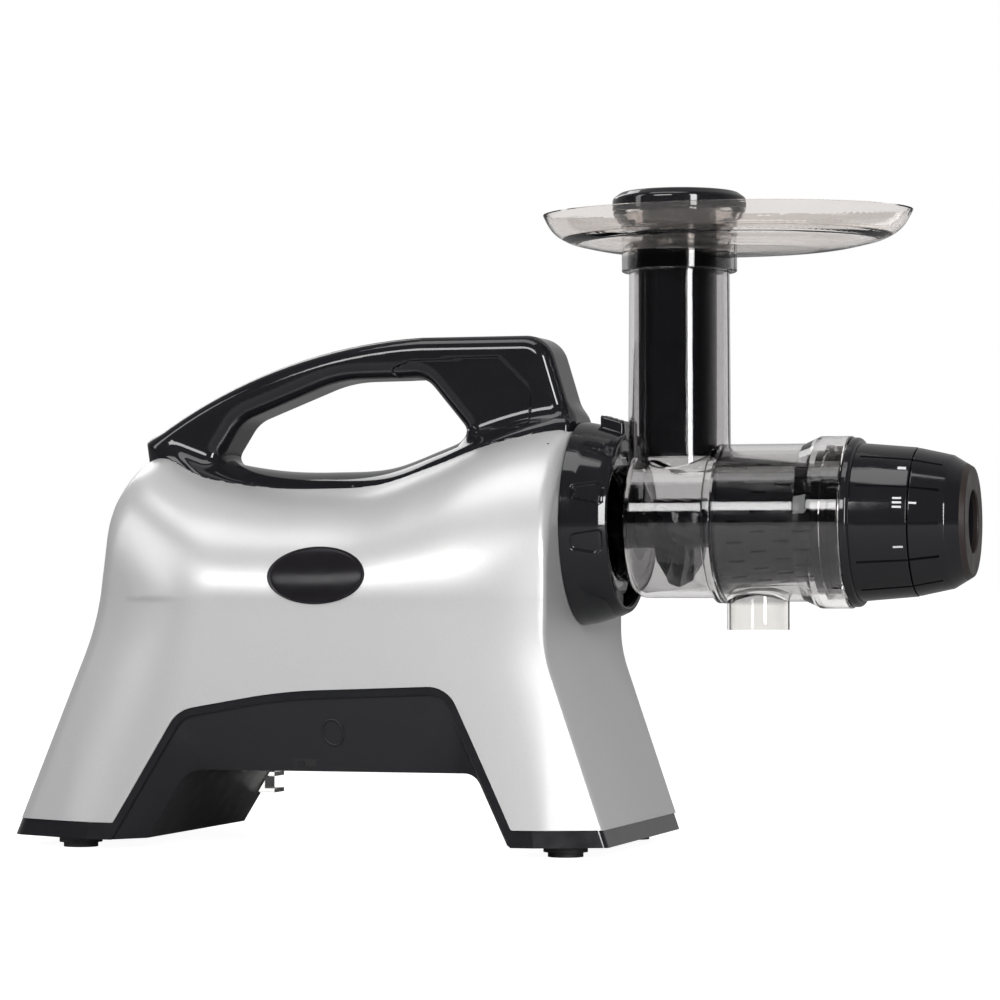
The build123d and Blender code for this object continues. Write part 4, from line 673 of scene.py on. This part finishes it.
def finish_piece(obj, material, body="base"):
    """Gives a made piece its material and the body it rides on."""
    obj.data.materials.append(material)
    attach(obj, body)
    return obj


# ================================================================ base unit pieces
def rear_opening(p, height, size):
    """Field of an upright rectangle on the rear wall."""
    return np.maximum(np.abs(p[..., 1]) - size[0] / 2, np.abs(p[..., 2] - height) - size[1] / 2)


def behind(p):
    """Positive away from the rear wall, so that its openings don't reach the front."""
    return p[..., 0] - REAR_TO_X


def housing_cut(p):
    """Negative where the silver skin stays: above its edge, off the arch and round the openings."""
    arch = outline_distance(p[..., 0], p[..., 2], rounded(ARCH, ARCH_RADII))
    collar = np.maximum(np.hypot(p[..., 1], p[..., 2] - AXIS_Z) - COLLAR_HOLE_R, COLLAR_FROM_X - p[..., 0])
    switch = np.maximum(rear_opening(p, SWITCH_Z, SWITCH_SIZE), behind(p))
    inlet = np.maximum(rear_opening(p, INLET_Z, INLET_SIZE), behind(p))
    openings = np.minimum(np.minimum(arch, collar), np.minimum(switch, inlet))
    return np.maximum(SHELL_BASE_Z - p[..., 2], -openings)


def make_housing(finish):
    """Silver housing with its soft facets, modelled as one closed shell."""
    points, faces = polygonise(base_unit, *HOUSING_REACH, HOUSING_CELL)
    points, faces = clip(points, faces, housing_cut, base_unit)
    obj = shell_object("housing_skin", base_unit, points, faces, HOUSING_WALL)
    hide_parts("housing_shell")
    return finish_piece(obj, finish["silver"])


def handle_outlines():
    """Outlines of the handle's side, its hole and its panel, and of the saddle from above."""
    arc = arc_through(HANDLE_HEEL, HANDLE_ARC_MID, HANDLE_TOP)
    front = rounded((HANDLE_TOP, HANDLE_NOSE, HANDLE_TOE, HANDLE_FEET[0]), (0, HANDLE_NOSE_R, 0, 0))
    side = np.concatenate([np.array(arc), front[1:], [HANDLE_FEET[1]]])
    return (side, rounded(HANDLE_HOLE, HANDLE_HOLE_RADII), rounded(HANDLE_PANEL, HANDLE_PANEL_RADII),
            rounded(SADDLE_PLAN, SADDLE_PLAN_RADII))


def handle_field(p):
    """Grip and post with rounded edges, blended into the saddle that lies on the vault."""
    side, hole, panel, plan = handle_outlines()
    x, y, z = p[..., 0], p[..., 1], p[..., 2]
    inset = smoothstep(np.clip(0.5 - outline_distance(x, z, panel) / PANEL_EDGE, 0, 1))
    across = np.abs(y) - HANDLE_HALF + PANEL_DEPTH * inset
    grip = round_max(outline_distance(x, z, side), across, HANDLE_EDGE_R)
    grip = np.maximum(grip, round_max(-outline_distance(x, z, hole), across, HANDLE_HOLE_EDGE_R))
    top = through(x, 2) + SADDLE_RISE
    crown = ellipse_distance(y, np.maximum(z - top + SADDLE_DEPTH, 0), SADDLE_HALF, SADDLE_DEPTH)
    saddle = round_max(crown, outline_distance(x, y, plan), SADDLE_EDGE_R)
    return smooth_min(grip, saddle, SADDLE_BLEND)


def handle_body(p):
    """The handle without what would lie inside the silver skin."""
    return np.maximum(handle_field(p), -(base_unit(p) + HANDLE_LAP))


def make_handle(finish):
    """Black handle and saddle, as one piece on the housing."""
    points, faces = polygonise(handle_body, *HANDLE_REACH, HANDLE_CELL)
    obj = surface_object("handle_body", handle_body, points, faces)
    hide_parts("handle")
    return finish_piece(obj, finish["gloss"])


def near_wall(x, z):
    """y of the near side wall at x and z."""
    y = np.full(x.shape, WALL_GUESS_Y)
    for _ in range(6):
        y = y + base_unit(np.stack([x, y, z], axis=-1))
    return y


def make_badge(finish):
    """Bare domed oval on the near side wall, with a bevelled rim."""
    face_rim = BADGE_RIM - BADGE_FACE_SINK
    profile = BADGE_BEVEL + tuple(
        (BADGE_FACE * math.cos(a), face_rim + (BADGE_DOME - face_rim) * math.sin(a))
        for a in np.linspace(0.0, BADGE_FACE_TURN, 14))
    steps = BADGE_STEPS
    around = np.arange(steps) * 2 * math.pi / steps
    points, faces = [], []
    for share, rise in profile:
        x = BADGE_AT[0] + BADGE_SIZE[0] * share * np.cos(around)
        z = BADGE_AT[1] + BADGE_SIZE[1] * share * np.sin(around)
        points.append(np.stack([x, near_wall(x, z) - rise, z], axis=-1))
    last = (len(profile) - 1) * steps
    for row in range(0, last, steps):
        for i in range(steps):
            j = (i + 1) % steps
            faces.append((row + i, row + j, row + steps + j, row + steps + i))
    faces += [tuple(range(steps)), tuple(range(last, last + steps))]
    obj = closed_object("badge_dome", np.concatenate(points), faces)
    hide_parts("badge")
    return finish_piece(obj, finish["badge"])


def slant_frame(x, z):
    """Point on the slanted near side of the belly, with its upward and outward directions."""
    (y0, z0), (y1, z1) = BELLY_SLANT
    up = np.array([0.0, y1 - y0, z1 - z0])
    up /= np.linalg.norm(up)
    at = np.array([x, y0 + (y1 - y0) * (z - z0) / (z1 - z0), z])
    return at, up, np.array([0.0, -up[2], up[1]])


def make_belly_details(finish):
    """Raised ring, latch and seam on the near side of the belly."""
    for number, (look, x, z, length, height, thick) in enumerate(BELLY_PLATES):
        at, up, out = slant_frame(x, z)
        corners = [at + np.array([s * length / 2, 0, 0]) + up * t * height / 2 + out * lift
                   for lift in (PLATE_SINK, thick) for s, t in BOX_CORNERS]
        obj = closed_object(f"belly_detail_{number}", np.array(corners), BOX_FACES)
        finish_piece(obj, finish[look])
    x, z, a, b = BELLY_RING
    at, up, out = slant_frame(x, z)
    wide, thick = BELLY_RING_TUBE
    around, tube = np.meshgrid(*[np.arange(n) * 2 * math.pi / n for n in BELLY_RING_STEPS], indexing="ij")
    swell = 1.0 + wide * np.cos(tube) / a
    points = (at + np.array([1.0, 0, 0]) * (a * swell * np.cos(around))[..., None]
              + up * (b * swell * np.sin(around))[..., None] + out * (thick * np.sin(tube))[..., None])
    obj = closed_object("belly_ring", points.reshape(-1, 3), wrapped_quads(*BELLY_RING_STEPS), SHARP_ROUND)
    finish_piece(obj, finish["matte"])


def make_skin_dots(finish):
    """Small dark lock marks on the silver beside the ring."""
    for number, (x, y, z, radius) in enumerate(SKIN_DOTS):
        made = bmesh.new()
        bmesh.ops.create_icosphere(made, subdivisions=3, radius=radius)
        made.verts.ensure_lookup_table()
        points = np.array([v.co for v in made.verts]) + np.array([x, y, z])
        faces = np.array([[v.index for v in face.verts] for face in made.faces])
        made.free()
        out = unit(gradient(base_unit, np.array([[x, y, z]])))[0]
        obj = closed_object(f"lock_mark_{number}", points - out * radius * DOT_SINK, faces, SHARP_ROUND)
        finish_piece(obj, finish["matte"])


# ================================================================ ring, cap and dial
def ring_relief(x, radius, angle):
    """Pads and recesses for the fingers on the dome, and the notches of the inner lip."""
    dome_x, dome_radius, fall = RING_DOME
    dome = radius > dome_radius - fall * (x - dome_x)
    depth = np.zeros(x.shape)
    grip = rounded(GRIP_OUTLINE, GRIP_RADII)
    for centre, side, kind in RING_GRIPS:
        arc = -side * np.radians(turn_from(centre, angle)) * GRIP_R
        d = outline_distance(x, arc, grip)
        if kind == "pad":
            groove = smoothstep(np.clip((PAD_GROOVE - np.abs(d + PAD_GROOVE)) / PAD_GROOVE_EDGE, 0, 1))
            depth += PAD_GROOVE_DEPTH * groove + PAD_SINK * np.clip(-(d + PAD_SINK_FROM), 0, 1)
        else:
            depth += RECESS_DEPTH * smoothstep(np.clip(-d / RECESS_EDGE, 0, 1))
    made = radius - depth * dome
    lip = (radius < RING_NOTCH_R) & (x > RING_LIP_X)
    for centre in RING_NOTCHES:
        open_here = np.abs(turn_from(centre, angle)) < RING_NOTCH_ARC / 2
        made = np.where(lip & open_here, RING_NOTCH_R, made)
    return made


def make_ring(finish):
    """Domed bayonet ring with its finger grips."""
    outline = dense(rounded(RING_PROFILE, RING_RADII), RING_STEP)
    obj = turned_object("ring_dome", outline, ring_relief)
    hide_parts("locking_ring")
    return finish_piece(obj, finish["gloss"], "ring")


def tab_field(p):
    """Thumb tab with a ribbed top that slopes down to the front."""
    x, y, z = p[..., 0], p[..., 1], p[..., 2]
    along = x - TAB_X[0]
    ribs = TAB_RIB * np.clip(np.cos(along * 2 * math.pi / TAB_RIB_PITCH), TAB_RIB_FLOOR, 1.0)
    top = z - (TAB_TOP - TAB_RIB_ROOM - TAB_SLOPE * along) - ribs * (np.abs(y) < TAB_HALF - TAB_RIM)
    sides = round_max(np.abs(y) - TAB_HALF, np.maximum(TAB_X[0] - x, x - TAB_X[1]), TAB_CORNER_R)
    return np.maximum(round_max(sides, top, TAB_EDGE_R), TAB_FOOT_Z - z)


def make_tab(finish):
    """Ribbed thumb tab of the ring."""
    low = (TAB_X[0] - 1, -TAB_HALF - 1, TAB_FOOT_Z - 1)
    high = (TAB_X[1] + 1, TAB_HALF + 1, TAB_TOP + 1)
    points, faces = polygonise(tab_field, low, high, TAB_CELL)
    obj = surface_object("tab_ribbed", tab_field, points, faces)
    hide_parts("ring_tab")
    return finish_piece(obj, finish["gloss"], "ring")


def make_marks(finish):
    """Plain printed bars round the edge of the cap, and the pointer on the dial."""
    for number, (body, line, x, angle, length, width) in enumerate(MARKS):
        (x0, r0), (x1, r1) = line
        corners = []
        for lift in (MARK_SINK, MARK_LIFT):
            for end, side in BOX_CORNERS:
                at = x + end * length / 2
                radius = r0 + (r1 - r0) * (at - x0) / (x1 - x0) + lift
                corners.append(on_axis(at, radius, angle + side * math.degrees(width / 2 / radius)))
        obj = closed_object(f"mark_{number}", np.array(corners), BOX_FACES)
        finish_piece(obj, finish["ink"], body)


# ================================================================ studio
def make_camera():
    """Camera at the photograph's viewing angle."""
    data = bpy.data.cameras.new("camera")
    data.lens = CAMERA_LENS
    data.sensor_width = CAMERA_SENSOR
    camera = bpy.data.objects.new("camera", data)
    camera.location = CAMERA_AT
    camera.rotation_euler = (math.radians(90 + CAMERA_PITCH), 0, math.radians(CAMERA_AZIMUTH))
    bpy.context.scene.collection.objects.link(camera)
    bpy.context.scene.camera = camera


def softbox(name, azimuth, elevation, distance, size, power):
    """Area lamp at an azimuth round the object, aimed at it; azimuth 0 is the near side."""
    data = bpy.data.lights.new(name, "AREA")
    data.shape = "RECTANGLE"
    data.size, data.size_y = size
    data.energy = power
    lamp = bpy.data.objects.new(name, data)
    a, e = math.radians(azimuth), math.radians(elevation)
    way = Vector((math.sin(a) * math.cos(e), -math.cos(a) * math.cos(e), math.sin(e)))
    lamp.location = Vector(LAMP_TARGET) + way * distance
    lamp.rotation_euler = way.to_track_quat("Z", "Y").to_euler()
    bpy.context.scene.collection.objects.link(lamp)


def make_lights():
    """Soft studio lamps round the object."""
    for lamp in LAMPS:
        softbox(*lamp)


def make_world():
    """White behind the object, also through its clear parts; dimmer where it only lights it."""
    world = bpy.data.worlds.new("studio")
    bpy.context.scene.world = world
    world.use_nodes = True
    tree = world.node_tree
    shade = tree.nodes["Background"]
    coords = tree.nodes.new("ShaderNodeTexCoord")
    split = tree.nodes.new("ShaderNodeSeparateXYZ")
    tree.links.new(coords.outputs["Generated"], split.inputs["Vector"])
    paths = tree.nodes.new("ShaderNodeLightPath")
    blend = tree.nodes.new("ShaderNodeMix")
    blend.data_type = "FLOAT"
    tree.links.new(paths.outputs["Is Glossy Ray"], blend.inputs["Factor"])
    tree.links.new(ramp(tree, split.outputs["X"], *WORLD_DIFFUSE), blend.inputs["A"])
    tree.links.new(ramp(tree, split.outputs["Y"], *WORLD_GLOSSY), blend.inputs["B"])
    behind_clear = ramp(tree, split.outputs["Y"], *WORLD_CLEAR)
    through_clear = combine(tree, "MULTIPLY", paths.outputs["Is Transmission Ray"], behind_clear)
    seen = combine(tree, "MAXIMUM", paths.outputs["Is Camera Ray"], through_clear)
    strength = combine(tree, "MAXIMUM", seen, blend.outputs["Result"])
    tree.links.new(strength, shade.inputs["Strength"])
    shade.inputs["Color"].default_value = (1, 1, 1, 1)


def make_floor():
    """Pale round floor, as light as the background where it is seen, also through clear parts."""
    turns = [2 * math.pi * i / FLOOR_STEPS for i in range(FLOOR_STEPS)]
    points = [(0, 0, 0)] + [(FLOOR_R * math.cos(a), FLOOR_R * math.sin(a), 0) for a in turns]
    faces = [(0, i + 1, (i + 1) % FLOOR_STEPS + 1) for i in range(FLOOR_STEPS)]
    floor = make_object("floor", points, faces)
    made, tree, shader = new_material("floor_pale")
    mottle(tree, shader, FLOOR_GREY, 0.01, 400.0)
    shader.inputs["Roughness"].default_value = 0.6
    shader.inputs["Specular IOR Level"].default_value = 0.2
    shader.inputs["Emission Color"].default_value = (1, 1, 1, 1)
    paths = tree.nodes.new("ShaderNodeLightPath")
    seen = combine(tree, "MAXIMUM", paths.outputs["Is Camera Ray"], paths.outputs["Is Transmission Ray"])
    tree.links.new(combine(tree, "MULTIPLY", seen, FLOOR_LIFT), shader.inputs["Emission Strength"])
    floor.data.materials.append(made)


def main():
    bpy.context.scene.view_settings.view_transform = "Standard"
    finish = make_materials()
    dress_nodes(finish)
    make_housing(finish)
    make_handle(finish)
    make_badge(finish)
    make_belly_details(finish)
    make_skin_dots(finish)
    make_ring(finish)
    make_tab(finish)
    make_marks(finish)
    make_camera()
    make_lights()
    make_world()
    make_floor()


main()
